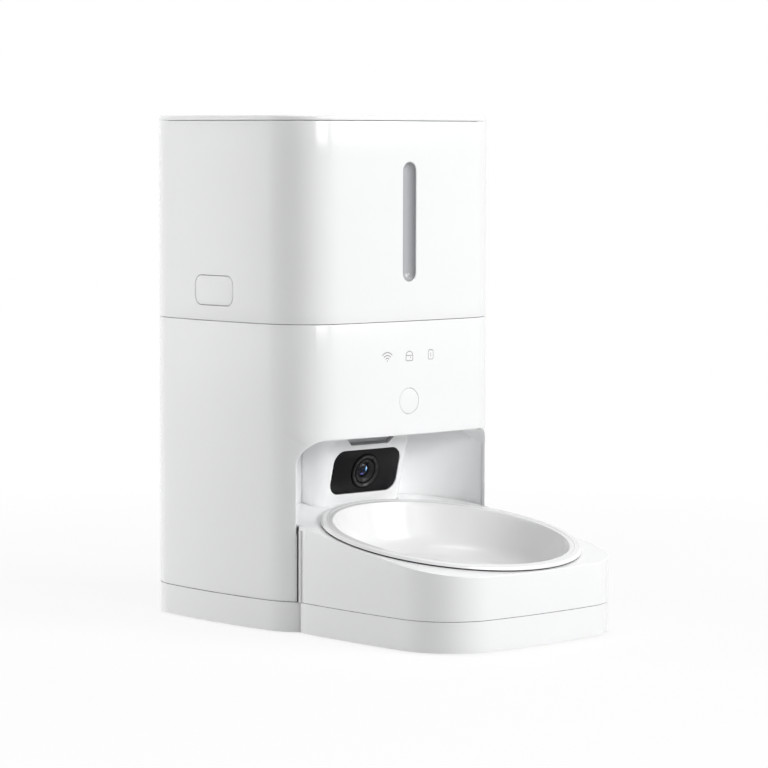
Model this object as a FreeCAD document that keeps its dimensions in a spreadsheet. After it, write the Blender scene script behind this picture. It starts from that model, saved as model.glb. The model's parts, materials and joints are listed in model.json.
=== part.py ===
import FreeCAD, Part
import math
import os
import Sketcher

# Automatic pet feeder with a camera: a tower with a lift-off food tank over a dispensing rotor, and a
# low tray in front that holds a sloping bowl. Millimetres, +Z up. The origin is on the surface that the
# feeder stands on, under the middle of its bounding box, and the bowl is towards -Y.

doc = FreeCAD.newDocument("pet_feeder")
dims = doc.addObject("Spreadsheet::Sheet", "dims")

SIZES = [
    # Overall sizes and the plan of the tower
    ("total_height", 321.0),
    ("total_depth", 285.2),
    ("tower_width", 184.0),
    ("tower_depth", 164.4),
    ("tower_side_radius", 471.0),
    ("tower_face_radius", 799.0),
    ("tower_corner_radius", 35.4),
    # Plan and sloping top of the tray
    ("tray_width", 165.2),
    ("tray_length", 164.8),
    ("tray_side_radius", 758.0),
    ("tray_face_radius", 554.0),
    ("tray_corner_radius", 40.1),
    ("deck_height", 59.3),
    ("deck_tilt", 9.17),
    # Walls and clearances
    ("shell_wall", 2.5),
    ("inner_wall", 2.0),
    ("seam_gap", 0.35),
    ("fit_gap", 0.3),
    ("tray_gap", 0.5),
    ("apron_gap", 0.8),
    ("foot_proud", 1.0),
    ("base_seam", 19.9),
    ("tank_seam", 192.1),
    # Lid and drying agent
    ("lid_plate", 3.0),
    ("lid_edge_round", 1.0),
    ("lid_skirt", 12.0),
    ("lid_skirt_wall", 1.8),
    ("lid_seal_height", 4.0),
    ("desiccant_radius", 24.0),
    ("desiccant_depth", 20.0),
    # Tank, its window and its latches
    ("tank_wall", 2.0),
    ("funnel_rise", 5.9),
    ("funnel_slope", 1.5),
    ("spigot_radius", 46.0),
    ("window_width", 10.4),
    ("window_top_margin", 24.0),
    ("window_low_margin", 25.7),
    ("window_depth", 4.6),
    ("latch_width", 37.3),
    ("latch_height", 19.2),
    ("latch_rise", 19.1),
    ("latch_corner", 6.0),
    ("latch_travel", 3.0),
    ("finger_width", 16.0),
    ("notch_width", 34.0),
    ("notch_height", 5.0),
    # Dispensing drive
    ("rotor_offset", 4.0),
    ("rotor_height", 29.0),
    ("rotor_radius", 46.6),
    ("housing_radius", 48.0),
    ("housing_depth", 39.0),
    ("hub_radius", 11.0),
    ("rotor_shaft", 4.0),
    ("running_gap", 0.06),
    ("outlet_setback", 20.8),
    ("gear_module", 0.8),
    ("rotor_teeth", 40),
    ("pinion_teeth", 14),
    ("gear_width", 6.0),
    ("motor_shaft_radius", 2.5),
    ("motor_radius", 13.8),
    ("motor_length", 32.0),
    ("chute_width", 48.0),
    # Recess above the bowl
    ("recess_width", 162.6),
    ("recess_top", 120.1),
    ("recess_depth", 60.2),
    ("recess_round", 16.0),
    ("recess_corner_radius", 50.0),
    # Camera
    ("camera_setback", 41.2),
    ("camera_drop", 26.1),
    ("camera_tilt", 14.0),
    ("panel_width", 56.7),
    ("panel_height", 29.1),
    ("panel_corner", 8.2),
    ("panel_thickness", 2.0),
    ("pod_width", 76.0),
    ("pod_round", 9.0),
    ("lens_radius", 11.6),
    ("barrel_radius", 8.4),
    ("mouth_width", 32.0),
    # Front button and lights
    ("button_radius", 8.1),
    ("button_gap", 0.25),
    ("button_travel", 1.2),
    ("button_rise", 21.5),
    ("icons_drop", 21.0),
    # Bowl and its well
    ("bowl_radius", 81.6),
    ("bowl_rim_width", 7.4),
    ("bowl_lip_height", 3.1),
    ("bowl_depth", 27.0),
    ("bowl_wall_run", 22.2),
    ("bowl_wall", 2.2),
    ("bowl_hole_inset", 3.6),
    ("collar_reach", 4.9),
    # Back-up cells and sockets
    ("cell_radius", 17.1),
    ("cell_length", 61.5),
    ("battery_front", 68.0),
    ("inlet_width", 16.0),
    ("inlet_height", 12.0),
    ("inlet_depth", 9.0),
    ("speaker_radius", 18.0),
    ("speaker_height", 92.0),
    # Feet and screws
    ("foot_radius", 7.0),
    ("foot_height", 2.5),
    ("foot_margin", 6.5),
    ("screw_radius", 1.5),
    ("screw_head_radius", 2.9),
]


def fill_sheet():
    for row, (alias, size) in enumerate(SIZES, start=1):
        dims.set(f"A{row}", alias)
        dims.set(f"B{row}", str(size))
        dims.setAlias(f"B{row}", alias)
    doc.recompute()


fill_sheet()

# Places that several sub-parts share, as expressions on the sheet
TOWER_Y = "(dims.total_depth - dims.tower_depth) / 2"
FACE_Y = "(dims.total_depth / 2 - dims.tower_depth)"
BACK_Y = "dims.total_depth / 2"
TRAY_Y = "(dims.tray_length - dims.total_depth) / 2"
LID_BOTTOM = "(dims.total_height - dims.lid_plate)"
TANK_BOTTOM = "(dims.tank_seam + dims.seam_gap / 2)"
BODY_TOP = "(dims.tank_seam - dims.seam_gap / 2)"
BODY_BOTTOM = "(dims.base_seam + dims.seam_gap / 2)"
BASE_TOP = "(dims.base_seam - dims.seam_gap / 2)"
TANK_INSET = "(dims.shell_wall + 0.5)"
DECK_THICK = "2.5"
HOUSING_TOP = f"({BODY_TOP} - {DECK_THICK} - dims.fit_gap)"
HOUSING_BOTTOM = f"({HOUSING_TOP} - dims.housing_depth)"
ROTOR_Y = f"({TOWER_Y} + dims.rotor_offset)"
GEAR_Z = f"({HOUSING_BOTTOM} - 4 - dims.gear_width)"
GEAR_COVER_Z = f"({GEAR_Z} - 3)"
DRIVE_Y = f"({ROTOR_Y} + dims.gear_module * (dims.rotor_teeth + dims.pinion_teeth) / 2)"
RECESS_BACK = f"({FACE_Y} + dims.recess_depth)"
CAMERA_Y = f"({FACE_Y} + dims.camera_setback)"
DECK_AT_FACE = f"(dims.deck_height + ({FACE_Y} - {TRAY_Y}) * tan(dims.deck_tilt))"
SILL = f"({BODY_BOTTOM} + 8)"
LATCH_Z = "(dims.tank_seam + dims.latch_rise)"
CAMERA_Z = "(dims.recess_top - dims.camera_drop)"
BUTTON_Z = "(dims.recess_top + dims.button_rise)"
ICONS_Z = "(dims.tank_seam - dims.icons_drop)"
WINDOW_HEIGHT = f"({LID_BOTTOM} - dims.tank_seam - dims.window_top_margin - dims.window_low_margin)"
WINDOW_Z = f"({LID_BOTTOM} - dims.window_top_margin - {WINDOW_HEIGHT} / 2)"
BOWL_LIP = "(dims.bowl_radius - dims.bowl_rim_width)"
BOWL_FLOOR = "(dims.bowl_radius - dims.bowl_rim_width - dims.bowl_wall_run)"
BOWL_HOLE = "(dims.bowl_radius - dims.bowl_hole_inset)"
COLLAR = "(dims.bowl_radius + dims.collar_reach)"
FUNNEL_BOTTOM = "(dims.tank_seam + dims.funnel_rise)"
# The funnel ends where its cone has passed the tank's corner that is farthest from the rotor
FUNNEL_REACH = (
    "(sqrt((dims.tower_width / 2) ^ 2 + (dims.tower_depth / 2 + dims.rotor_offset) ^ 2)"
    " - 0.41 * dims.tower_corner_radius)"
)
FUNNEL_RISE = f"(({FUNNEL_REACH} - dims.spigot_radius) / dims.funnel_slope)"
FUNNEL_SEAM = f"({FUNNEL_BOTTOM} - dims.tank_wall + {FUNNEL_RISE})"

TOWER_PLAN = {
    "half_x": "dims.tower_width / 2",
    "half_y": "dims.tower_depth / 2",
    "side": "dims.tower_side_radius",
    "face": "dims.tower_face_radius",
    "corner": "dims.tower_corner_radius",
}
TRAY_PLAN = {
    "half_x": "dims.tray_width / 2",
    "half_y": "dims.tray_length / 2",
    "side": "dims.tray_side_radius",
    "face": "dims.tray_face_radius",
    "corner": "dims.tray_corner_radius",
}

parts = {}


def number(expression):
    """The value of an expression on the sheet."""
    return float(dims.evalExpression(str(expression)))


def bind(item, **links):
    """Ties properties of an object to expressions on the sheet."""
    for name, expression in links.items():
        item.setExpression(name.replace("__", "."), str(expression))


def place(item, x="0", y="0", z="0"):
    bind(item, Placement__Base__x=x, Placement__Base__y=y, Placement__Base__z=z)


def turn(item, axis, angle):
    """Turns an object about a fixed axis by an angle that the sheet gives."""
    item.Placement = FreeCAD.Placement(FreeCAD.Vector(), FreeCAD.Rotation(FreeCAD.Vector(*axis), 45))
    bind(item, Placement__Rotation__Angle=angle)


def keep(node, item):
    """Names a finished sub-part."""
    item.Label = node
    parts[node] = item
    return item


# Drawing in sketches: each drawing function returns one that adds its shape to a sketch


def locate(sketch, geometry, point, x, y):
    """Ties a point of a sketch to its two coordinates from the sheet."""
    for kind, axis, expression in (("DistanceX", -2, x), ("DistanceY", -1, y)):
        size = number(expression)
        if abs(size) < 1e-9:
            sketch.addConstraint(Sketcher.Constraint("PointOnObject", geometry, point, axis))
            continue
        ends = (-1, 1, geometry, point) if size > 0 else (geometry, point, -1, 1)
        index = sketch.addConstraint(Sketcher.Constraint(kind, *ends, abs(size)))
        sketch.setExpression(f"Constraints[{index}]", expression if size > 0 else f"-({expression})")


def set_radius(sketch, geometry, expression):
    index = sketch.addConstraint(Sketcher.Constraint("Radius", geometry, number(expression)))
    sketch.setExpression(f"Constraints[{index}]", expression)


def arc(centre, radius, start, end):
    round_line = Part.Circle(FreeCAD.Vector(*centre, 0), FreeCAD.Vector(0, 0, 1), radius)
    return Part.ArcOfCircle(round_line, start, end)


def outline(plan, inset="0"):
    """Four bulged sides joined by tangent corner arcs, moved in by a distance all round."""
    half_x = f"({plan['half_x']} - ({inset}))"
    half_y = f"({plan['half_y']} - ({inset}))"
    radii = {name: f"({plan[name]} - ({inset}))" for name in ("side", "face", "corner")}

    def draw(sketch):
        side, face, corner = (number(radii[name]) for name in ("side", "face", "corner"))
        side_x = number(half_x) - side
        face_y = number(half_y) - face
        # The corner's centre is where circles about the side's and the face's centres cross
        reach_side, reach_face = side - corner, face - corner
        apart = math.hypot(side_x, face_y)
        along = (reach_side**2 - reach_face**2 + apart**2) / (2 * apart)
        off = math.sqrt(reach_side**2 - along**2)
        ux, uy = -side_x / apart, face_y / apart
        corner_x = side_x + along * ux - off * uy
        corner_y = along * uy + off * ux
        low = math.atan2(corner_y, corner_x - side_x)
        high = math.atan2(corner_y - face_y, corner_x)
        half_turn = math.pi
        rounds = [
            ("side", (side_x, 0), -low, low),
            ("corner", (corner_x, corner_y), low, high),
            ("face", (0, face_y), high, half_turn - high),
            ("corner", (-corner_x, corner_y), half_turn - high, half_turn - low),
            ("side", (-side_x, 0), half_turn - low, half_turn + low),
            ("corner", (-corner_x, -corner_y), half_turn + low, half_turn + high),
            ("face", (0, -face_y), half_turn + high, 2 * half_turn - high),
            ("corner", (corner_x, -corner_y), 2 * half_turn - high, 2 * half_turn - low),
        ]
        drawn = []
        for kind, centre, start, end in rounds:
            radius = {"side": side, "face": face, "corner": corner}[kind]
            drawn.append(sketch.addGeometry(arc(centre, radius, start, end), False))
        for index, geometry in enumerate(drawn):
            following = drawn[(index + 1) % len(drawn)]
            sketch.addConstraint(Sketcher.Constraint("Tangent", geometry, 2, following, 1))
        for geometry, (kind, *_) in zip(drawn, rounds):
            set_radius(sketch, geometry, radii[kind])
        locate(sketch, drawn[0], 3, f"{half_x} - {radii['side']}", "0")
        locate(sketch, drawn[2], 3, "0", f"{half_y} - {radii['face']}")
        locate(sketch, drawn[4], 3, f"{radii['side']} - {half_x}", "0")
        locate(sketch, drawn[6], 3, "0", f"{radii['face']} - {half_y}")

    return draw


def circle(radius, x="0", y="0"):
    def draw(sketch):
        centre = FreeCAD.Vector(number(x), number(y), 0)
        round_line = Part.Circle(centre, FreeCAD.Vector(0, 0, 1), number(radius))
        geometry = sketch.addGeometry(round_line, False)
        set_radius(sketch, geometry, str(radius))
        locate(sketch, geometry, 3, x, y)

    return draw


def polygon(*corners):
    """A closed outline of straight lines through the corners given."""

    def draw(sketch):
        points = [FreeCAD.Vector(number(x), number(y), 0) for x, y in corners]
        lines = []
        for start, end in zip(points, points[1:] + points[:1]):
            lines.append(sketch.addGeometry(Part.LineSegment(start, end), False))
        for index, line in enumerate(lines):
            following = lines[(index + 1) % len(lines)]
            sketch.addConstraint(Sketcher.Constraint("Coincident", line, 2, following, 1))
        for line, (x, y) in zip(lines, corners):
            locate(sketch, line, 1, str(x), str(y))

    return draw


def rectangle(width, height, x="0", y="0"):
    left, right = f"({x}) - ({width}) / 2", f"({x}) + ({width}) / 2"
    low, high = f"({y}) - ({height}) / 2", f"({y}) + ({height}) / 2"
    return polygon((left, low), (right, low), (right, high), (left, high))


def rounded(width, height, corner):
    """A rectangle about the sketch's origin with round corners."""

    def draw(sketch):
        half_w, half_h, radius = number(f"({width}) / 2"), number(f"({height}) / 2"), number(corner)
        flat_w, flat_h = half_w - radius, half_h - radius
        quarter = math.pi / 2
        centres = [(flat_w, flat_h), (-flat_w, flat_h), (-flat_w, -flat_h), (flat_w, -flat_h)]
        rounds = []
        for index, centre in enumerate(centres):
            rounds.append(
                sketch.addGeometry(arc(centre, radius, index * quarter, (index + 1) * quarter), False)
            )
        order = []
        for index, geometry in enumerate(rounds):
            following = rounds[(index + 1) % 4]
            start = sketch.getPoint(geometry, 2)
            end = sketch.getPoint(following, 1)
            line = sketch.addGeometry(Part.LineSegment(start, end), False)
            order += [geometry, line]
        for index, geometry in enumerate(order):
            following = order[(index + 1) % len(order)]
            sketch.addConstraint(Sketcher.Constraint("Tangent", geometry, 2, following, 1))
        for geometry in rounds:
            set_radius(sketch, geometry, str(corner))
        across = [f"({width}) / 2 - ({corner})", f"({corner}) - ({width}) / 2"]
        up = [f"({height}) / 2 - ({corner})", f"({corner}) - ({height}) / 2"]
        locate(sketch, rounds[0], 3, across[0], up[0])
        locate(sketch, rounds[2], 3, across[1], up[1])

    return draw


# Solids made from sketches and from plain shapes

UPWARDS = None
FORWARDS = ((1, 0, 0), "90")
SIDEWAYS = ((1, 1, 1), "120")
INTO_CAMERA = ((1, 0, 0), "dims.camera_tilt - 90")
BOWL_AXIS = ((1, 0, 0), "dims.deck_tilt")
BACKWARDS = ((1, 0, 0), "-90")


def extrude(name, drawings, length, way=UPWARDS, x="0", y="0", z="0", middle=False):
    """Extrudes one sketch. FORWARDS goes to -Y, SIDEWAYS takes a Y-Z outline along X."""
    sketch = doc.addObject("Sketcher::SketchObject", f"{name}_sketch")
    for draw in drawings:
        draw(sketch)
    solid = doc.addObject("Part::Extrusion", name)
    solid.Base = sketch
    solid.DirMode = "Custom"
    solid.Dir = FreeCAD.Vector(0, 0, 1)
    solid.Solid = True
    solid.Symmetric = middle
    solid.FaceMakerClass = "Part::FaceMakerBullseye"
    bind(solid, LengthFwd=length)
    if way:
        turn(solid, *way)
    place(solid, x, y, z)
    return solid


def box(name, x, y, z):
    """A box between two ends on each axis."""
    solid = doc.addObject("Part::Box", name)
    for side, (low, high) in (("Length", x), ("Width", y), ("Height", z)):
        bind(solid, **{side: f"({high}) - ({low})"})
    place(solid, str(x[0]), str(y[0]), str(z[0]))
    return solid


def cylinder(name, radius, length, x="0", y="0", z="0", way=UPWARDS):
    solid = doc.addObject("Part::Cylinder", name)
    bind(solid, Radius=radius, Height=length)
    if way:
        turn(solid, *way)
    place(solid, x, y, z)
    return solid


def cone(name, low_radius, high_radius, length, x="0", y="0", z="0"):
    solid = doc.addObject("Part::Cone", name)
    bind(solid, Radius1=low_radius, Radius2=high_radius, Height=length)
    place(solid, x, y, z)
    return solid


def fuse(name, *pieces):
    solid = doc.addObject("Part::MultiFuse", name)
    solid.Shapes = list(pieces)
    solid.Refine = True
    return solid


def cut(name, base, *tools):
    solid = doc.addObject("Part::Cut", name)
    solid.Base = base
    solid.Tool = tools[0] if len(tools) == 1 else fuse(f"{name}_tools", *tools)
    return solid


def common(name, first, second):
    solid = doc.addObject("Part::MultiCommon", name)
    solid.Shapes = [first, second]
    return solid


def group(name, *pieces):
    """Several separate solids that count as one sub-part, such as a set of screws."""
    solid = doc.addObject("Part::Compound", name)
    solid.Links = list(pieces)
    return solid


def new_body(node):
    body = doc.addObject("PartDesign::Body", node)
    return keep(node, body)


def body_sketch(body, name, plane, *drawings):
    sketch = body.newObject("Sketcher::SketchObject", name)
    faces = [item for item in body.Origin.OriginFeatures if item.Role == plane]
    sketch.AttachmentSupport = (faces[0], [""])
    sketch.MapMode = "FlatFace"
    for draw in drawings:
        draw(sketch)
    return sketch


def pad(body, name, drawings, length, up=True, offset="0"):
    """Adds a straight pad from a sketch that lies a given height over the body's own floor."""
    sketch = body_sketch(body, f"{name}_sketch", "XY_Plane", *drawings)
    bind(sketch, AttachmentOffset__Base__z=offset)
    feature = body.newObject("PartDesign::Pad", name)
    feature.Profile = sketch
    feature.Reversed = not up
    bind(feature, Length=length)
    return feature


def pocket(body, name, drawings, length, down=True, offset="0"):
    sketch = body_sketch(body, f"{name}_sketch", "XY_Plane", *drawings)
    bind(sketch, AttachmentOffset__Base__z=offset)
    doc.recompute()
    before = body.Shape.Volume
    feature = body.newObject("PartDesign::Pocket", name)
    feature.Profile = sketch
    feature.Reversed = not down
    bind(feature, Length=length)
    doc.recompute()
    if body.Shape.Volume > before - 1e-3:
        raise ValueError(f"{name} cuts nothing")
    return feature


def revolve(body, name, drawing):
    """Turns a radius-height outline all the way round the body's own Z axis."""
    sketch = body_sketch(body, f"{name}_sketch", "XZ_Plane", drawing)
    feature = body.newObject("PartDesign::Revolution", name)
    feature.Profile = sketch
    feature.ReferenceAxis = (sketch, ["V_Axis"])
    feature.Angle = 360
    return feature


def round_edges(body, name, radius, test, kind="PartDesign::Fillet"):
    """Rounds or bevels the edges of the body's last feature that pass a test on the edge."""
    doc.recompute()
    base = body.Tip
    chosen = [f"Edge{index}" for index, edge in enumerate(base.Shape.Edges, start=1) if test(edge)]
    feature = body.newObject(kind, name)
    feature.Base = (base, chosen)
    bind(feature, **{"Radius" if kind == "PartDesign::Fillet" else "Size": radius})
    doc.recompute()
    return feature


def at_height(level):
    """A test for edges that lie flat at one height."""
    return lambda edge: all(abs(z - level) < 1e-4 for z in (edge.BoundBox.ZMin, edge.BoundBox.ZMax))


def spring(node, radius, wire, length, turns, x, y, z, way):
    """A coil of quarter-turn arcs, as long over its ends as the room between two flat faces."""
    coil_radius, wire_radius = number(radius), number(wire) / 2
    rise = (number(length) - 2 * wire_radius) / (4 * turns)

    def on_coil(quarters):
        angle = quarters * math.pi / 2
        height = wire_radius + quarters * rise
        return FreeCAD.Vector(coil_radius * math.cos(angle), coil_radius * math.sin(angle), height)

    arcs = [
        Part.Arc(on_coil(step), on_coil(step + 0.5), on_coil(step + 1)).toShape()
        for step in range(4 * turns)
    ]
    path = Part.Wire(arcs)
    start = path.Edges[0]
    section = Part.Wire([Part.makeCircle(wire_radius, on_coil(0), start.tangentAt(start.FirstParameter))])
    coil = doc.addObject("Part::Feature", f"{node}_coil")
    coil.Shape = path.makePipeShell([section], True, False)
    turn(coil, *way)
    place(coil, x, y, z)
    return keep(node, coil)


# Lid with its skirt, seal and drying agent


def make_lid():
    body = new_body("lid")
    skirt_inset = f"{TANK_INSET} + dims.tank_wall + 1.4"
    pad(body, "lid_top", [outline(TOWER_PLAN)], "dims.lid_plate")
    top = number("dims.lid_plate")
    round_edges(body, "lid_round", "dims.lid_edge_round", at_height(top))
    ring = [outline(TOWER_PLAN, skirt_inset), outline(TOWER_PLAN, f"{skirt_inset} + dims.lid_skirt_wall")]
    pad(body, "lid_skirt_ring", ring, "dims.lid_skirt", up=False)
    socket = [circle("dims.desiccant_radius + 2"), circle("dims.desiccant_radius")]
    pad(body, "lid_socket", socket, "dims.desiccant_depth - 4", up=False)
    place(body, y=TOWER_Y, z=LID_BOTTOM)


def make_lid_seal():
    inner = f"{TANK_INSET} + dims.tank_wall + 1.4"
    outer = f"{TANK_INSET} + dims.tank_wall + dims.fit_gap"
    ring = [outline(TOWER_PLAN, outer), outline(TOWER_PLAN, inner)]
    seal = extrude("lid_seal_ring", ring, "dims.lid_seal_height", y=TOWER_Y, z=f"{LID_BOTTOM} - 9")
    keep("lid_seal", seal)


def make_desiccant():
    case_radius = "(dims.desiccant_radius - dims.fit_gap)"
    body = new_body("desiccant_case")
    pad(body, "case_block", [circle(case_radius)], "dims.desiccant_depth")
    pocket(
        body,
        "case_hollow",
        [circle(f"{case_radius} - 1.6")],
        "dims.desiccant_depth - 1.6",
        offset="dims.desiccant_depth",
    )
    slots = []
    for step in range(-3, 4):
        slots.append(rectangle("26", "2", "0", str(step * 4.5)))
    pocket(body, "case_vents", slots, "1.6", down=False)
    place(body, y=TOWER_Y, z=f"{LID_BOTTOM} - dims.fit_gap - dims.desiccant_depth")
    pack = cylinder(
        "desiccant_fill",
        f"{case_radius} - 1.9",
        "dims.desiccant_depth - 3",
        y=TOWER_Y,
        z=f"{LID_BOTTOM} - dims.desiccant_depth + 1.6",
    )
    keep("desiccant_pack", pack)


# Lift-off tank: outer casing, food tank with its funnel, floor plate, window and latches


def rounded_through_side(name, grow):
    """A block with round corners that runs through both side walls, for the latch keys."""
    drawing = rounded(f"dims.latch_width + {grow}", f"dims.latch_height + {grow}", "dims.latch_corner")
    return extrude(
        name, [drawing], "dims.tower_width + 20", SIDEWAYS, y=TOWER_Y, z=LATCH_Z, middle=True
    )


def make_hopper_shell():
    ring = [outline(TOWER_PLAN), outline(TOWER_PLAN, "dims.shell_wall")]
    height = f"{LID_BOTTOM} - dims.seam_gap - {TANK_BOTTOM}"
    casing = extrude("hopper_ring", ring, height, y=TOWER_Y, z=TANK_BOTTOM)
    window = window_cut("shell_window_cut", "0")
    keys = rounded_through_side("latch_cut", "0")
    half = "dims.notch_width / 2"
    notch = box(
        "finger_notch",
        (f"-{half}", half),
        (f"{BACK_Y} - 8", f"{BACK_Y} + 2"),
        (f"{LID_BOTTOM} - dims.seam_gap - dims.notch_height", LID_BOTTOM),
    )
    keep("hopper_shell", cut("hopper_shell_cut", casing, window, keys, notch))


TANK_TOP = f"({LID_BOTTOM} - dims.seam_gap - 0.4)"


def window_cut(name, grow):
    """The upright slot through the front wall, with half-round ends."""
    size = f"2 * ({grow})"
    slot = rounded(
        f"dims.window_width + {size}", f"{WINDOW_HEIGHT} + {size}", f"dims.window_width / 2 + {grow} - 0.01"
    )
    return extrude(name, [slot], "16", FORWARDS, y=f"{FACE_Y} + 11", z=WINDOW_Z)


def make_hopper_tank():
    """The food tank's upright walls."""
    ring = [outline(TOWER_PLAN, TANK_INSET), outline(TOWER_PLAN, f"{TANK_INSET} + dims.tank_wall")]
    walls = extrude("tank_ring", ring, f"{TANK_TOP} - {FUNNEL_SEAM}", y=TOWER_Y, z=FUNNEL_SEAM)
    keep("hopper_tank", cut("hopper_tank_cut", walls, window_cut("tank_window_cut", "dims.fit_gap")))


def funnel_cone(name, radius, bottom):
    """The funnel's slope, carried on a little past the seam with the tank's walls."""
    height = f"({FUNNEL_SEAM} - ({bottom}) + 10)"
    return cone(name, radius, f"{radius} + {height} * dims.funnel_slope", height, y=ROTOR_Y, z=bottom)


def funnel_part(name, inset, radius, bottom, over="0"):
    """The room inside an outline that a cone closes in from below, up to the seam."""
    height = f"{FUNNEL_SEAM} + {over} - ({bottom})"
    block = extrude(f"{name}_block", [outline(TOWER_PLAN, inset)], height, y=TOWER_Y, z=bottom)
    return common(name, block, funnel_cone(f"{name}_cone", radius, bottom))


def make_hopper_funnel():
    """The sloping foot of the tank and the round spigot that stands in the rotor's housing."""
    thick = "(dims.tank_wall + 0.4)"
    low = f"({FUNNEL_BOTTOM} - dims.tank_wall)"
    skin = funnel_part("funnel_skin", TANK_INSET, f"(dims.spigot_radius + {thick})", low)
    room = funnel_part(
        "funnel_room", f"{TANK_INSET} + dims.tank_wall", "(dims.spigot_radius - 0.8)", FUNNEL_BOTTOM, "1"
    )
    spigot_bottom = f"({HOUSING_BOTTOM} + dims.inner_wall + dims.rotor_height + 3)"
    spigot_length = f"{FUNNEL_BOTTOM} - {spigot_bottom}"
    spigot = cylinder("funnel_spigot", "dims.spigot_radius", spigot_length, y=ROTOR_Y, z=spigot_bottom)
    bore = cylinder(
        "funnel_bore", "dims.spigot_radius - dims.tank_wall", "40", y=ROTOR_Y, z=f"{FUNNEL_BOTTOM} - 30"
    )
    solid = cut("funnel_hollow", fuse("funnel_outer", skin, spigot), room, bore)
    keep("hopper_funnel", cut("hopper_funnel_cut", solid, window_cut("funnel_window_cut", "dims.fit_gap")))


def make_food_shelf():
    """A shelf over the front half of the outlet, so that food can't fall straight into the chute."""
    disc = cylinder(
        "shelf_disc", "dims.spigot_radius - dims.tank_wall - 0.3", "2", y=ROTOR_Y, z=f"{FUNNEL_BOTTOM} - 4"
    )
    half = box(
        "shelf_half", ("-60", "60"), (f"{ROTOR_Y} - 60", f"{ROTOR_Y} + 4"), (
            f"{FUNNEL_BOTTOM} - 6", FUNNEL_BOTTOM
        )
    )
    keep("food_shelf", common("food_shelf_common", disc, half))


def finger_slot(name, side, low, high, margin="dims.fit_gap + 0.3"):
    """The way of a latch finger and its travel through a plate, on one side."""
    reach = f"(dims.tower_width / 2 - dims.shell_wall - {margin})"
    outer = f"({reach} + 0.2)"
    inner = f"({reach} - 3 - dims.latch_travel - 1)"
    ends = (inner, outer) if side > 0 else (f"-{outer}", f"-{inner}")
    half = "(dims.finger_width / 2 + 0.6)"
    return box(name, ends, (f"{TOWER_Y} - {half}", f"{TOWER_Y} + {half}"), (low, high))


def make_hopper_base():
    plate = extrude("hopper_plate", [outline(TOWER_PLAN, TANK_INSET)], "2", y=TOWER_Y, z=TANK_BOTTOM)
    brackets = []
    for side in (-1, 1):
        post = "(dims.tower_width / 2 - 15)"
        ends = (f"{post} - 2", post) if side > 0 else (f"-{post}", f"-{post} + 2")
        name = "right" if side > 0 else "left"
        brackets.append(
            box(
                f"spring_post_{name}",
                ends,
                (f"{TOWER_Y} - 7", f"{TOWER_Y} + 7"),
                (TANK_BOTTOM, f"{LATCH_Z} - 1"),
            )
        )
    solid = fuse("hopper_plate_posts", plate, *brackets)
    hole = cylinder(
        "hopper_plate_hole", "dims.spigot_radius + dims.fit_gap", "30", y=ROTOR_Y, z=f"{TANK_BOTTOM} - 2"
    )
    slots = [
        finger_slot(f"hopper_slot_{side + 1}", side, f"{TANK_BOTTOM} - 2", f"{TANK_BOTTOM} + 4")
        for side in (-1, 1)
    ]
    cone_room = funnel_cone(
        "hopper_cone_room",
        "(dims.spigot_radius + dims.tank_wall + 0.4 + dims.fit_gap)",
        f"({FUNNEL_BOTTOM} - dims.tank_wall)",
    )
    keep("hopper_base", cut("hopper_base_cut", solid, hole, cone_room, *slots))


def make_window():
    width = "dims.window_width - 0.2"
    height = f"{WINDOW_HEIGHT} - 0.2"
    strip = extrude(
        "window_strip",
        [rounded(width, height, "dims.window_width / 2 - 0.12")],
        "dims.window_depth",
        FORWARDS,
        y=f"{FACE_Y} + dims.window_depth + 0.4",
        z=WINDOW_Z,
    )
    trough = extrude(
        "window_trough",
        [rounded(f"{width} - 2.4", f"{height} - 2.4", "dims.window_width / 2 - 1.35")],
        "dims.window_depth",
        FORWARDS,
        y=f"{FACE_Y} + dims.window_depth - 1.2",
        z=WINDOW_Z,
    )
    keep("level_window", cut("level_window_cut", strip, trough))


def make_latch(side):
    name = "right" if side > 0 else "left"
    edge = "dims.tower_width / 2"

    def across(name, near, far, y, z):
        ends = (far, near) if side > 0 else (f"-({near})", f"-({far})")
        return box(name, ends, y, z)

    key_block = extrude(
        f"latch_key_block_{name}",
        [
            rounded(
                "dims.latch_width - 2 * dims.seam_gap",
                "dims.latch_height - 2 * dims.seam_gap",
                "dims.latch_corner - dims.seam_gap",
            )
        ],
        "12",
        SIDEWAYS,
        x=f"{edge} - 7" if side > 0 else f"-{edge} - 5",
        y=TOWER_Y,
        z=LATCH_Z,
    )
    skin = extrude(
        f"latch_skin_{name}",
        [outline(TOWER_PLAN), outline(TOWER_PLAN, "dims.shell_wall + dims.fit_gap + 0.5")],
        "40",
        y=TOWER_Y,
        z=f"{LATCH_Z} - 20",
    )
    key = common(f"latch_key_{name}", key_block, skin)
    back = f"{edge} - dims.shell_wall - dims.fit_gap"
    half = "dims.latch_width / 2 + 2"
    flange = across(
        f"latch_flange_{name}",
        f"{back} - 0.5",
        f"{back} - 2",
        (f"{TOWER_Y} - ({half})", f"{TOWER_Y} + ({half})"),
        (f"{LATCH_Z} - dims.latch_height / 2 - 2", f"{LATCH_Z} + dims.latch_height / 2 - 6"),
    )
    finger = across(
        f"latch_finger_{name}",
        f"{back} - 0.5",
        f"{back} - 3",
        (f"{TOWER_Y} - dims.finger_width / 2", f"{TOWER_Y} + dims.finger_width / 2"),
        (f"{TANK_BOTTOM} - 7", LATCH_Z),
    )
    keep(f"latch_{name}", fuse(f"latch_{name}_solid", key, flange, finger))
    start = f"{edge} - 15"
    length = f"({back} - 3 - (dims.tower_width / 2 - 15) - 0.2)"
    way = ((0, 1, 0), "90") if side > 0 else ((0, 1, 0), "-90")
    near = f"{start} + 0.1" if side > 0 else f"-({start}) - 0.1"
    spring(f"latch_spring_{name}", "3", "0.6", length, 4, near, TOWER_Y, f"{LATCH_Z} - 6", way)


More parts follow.
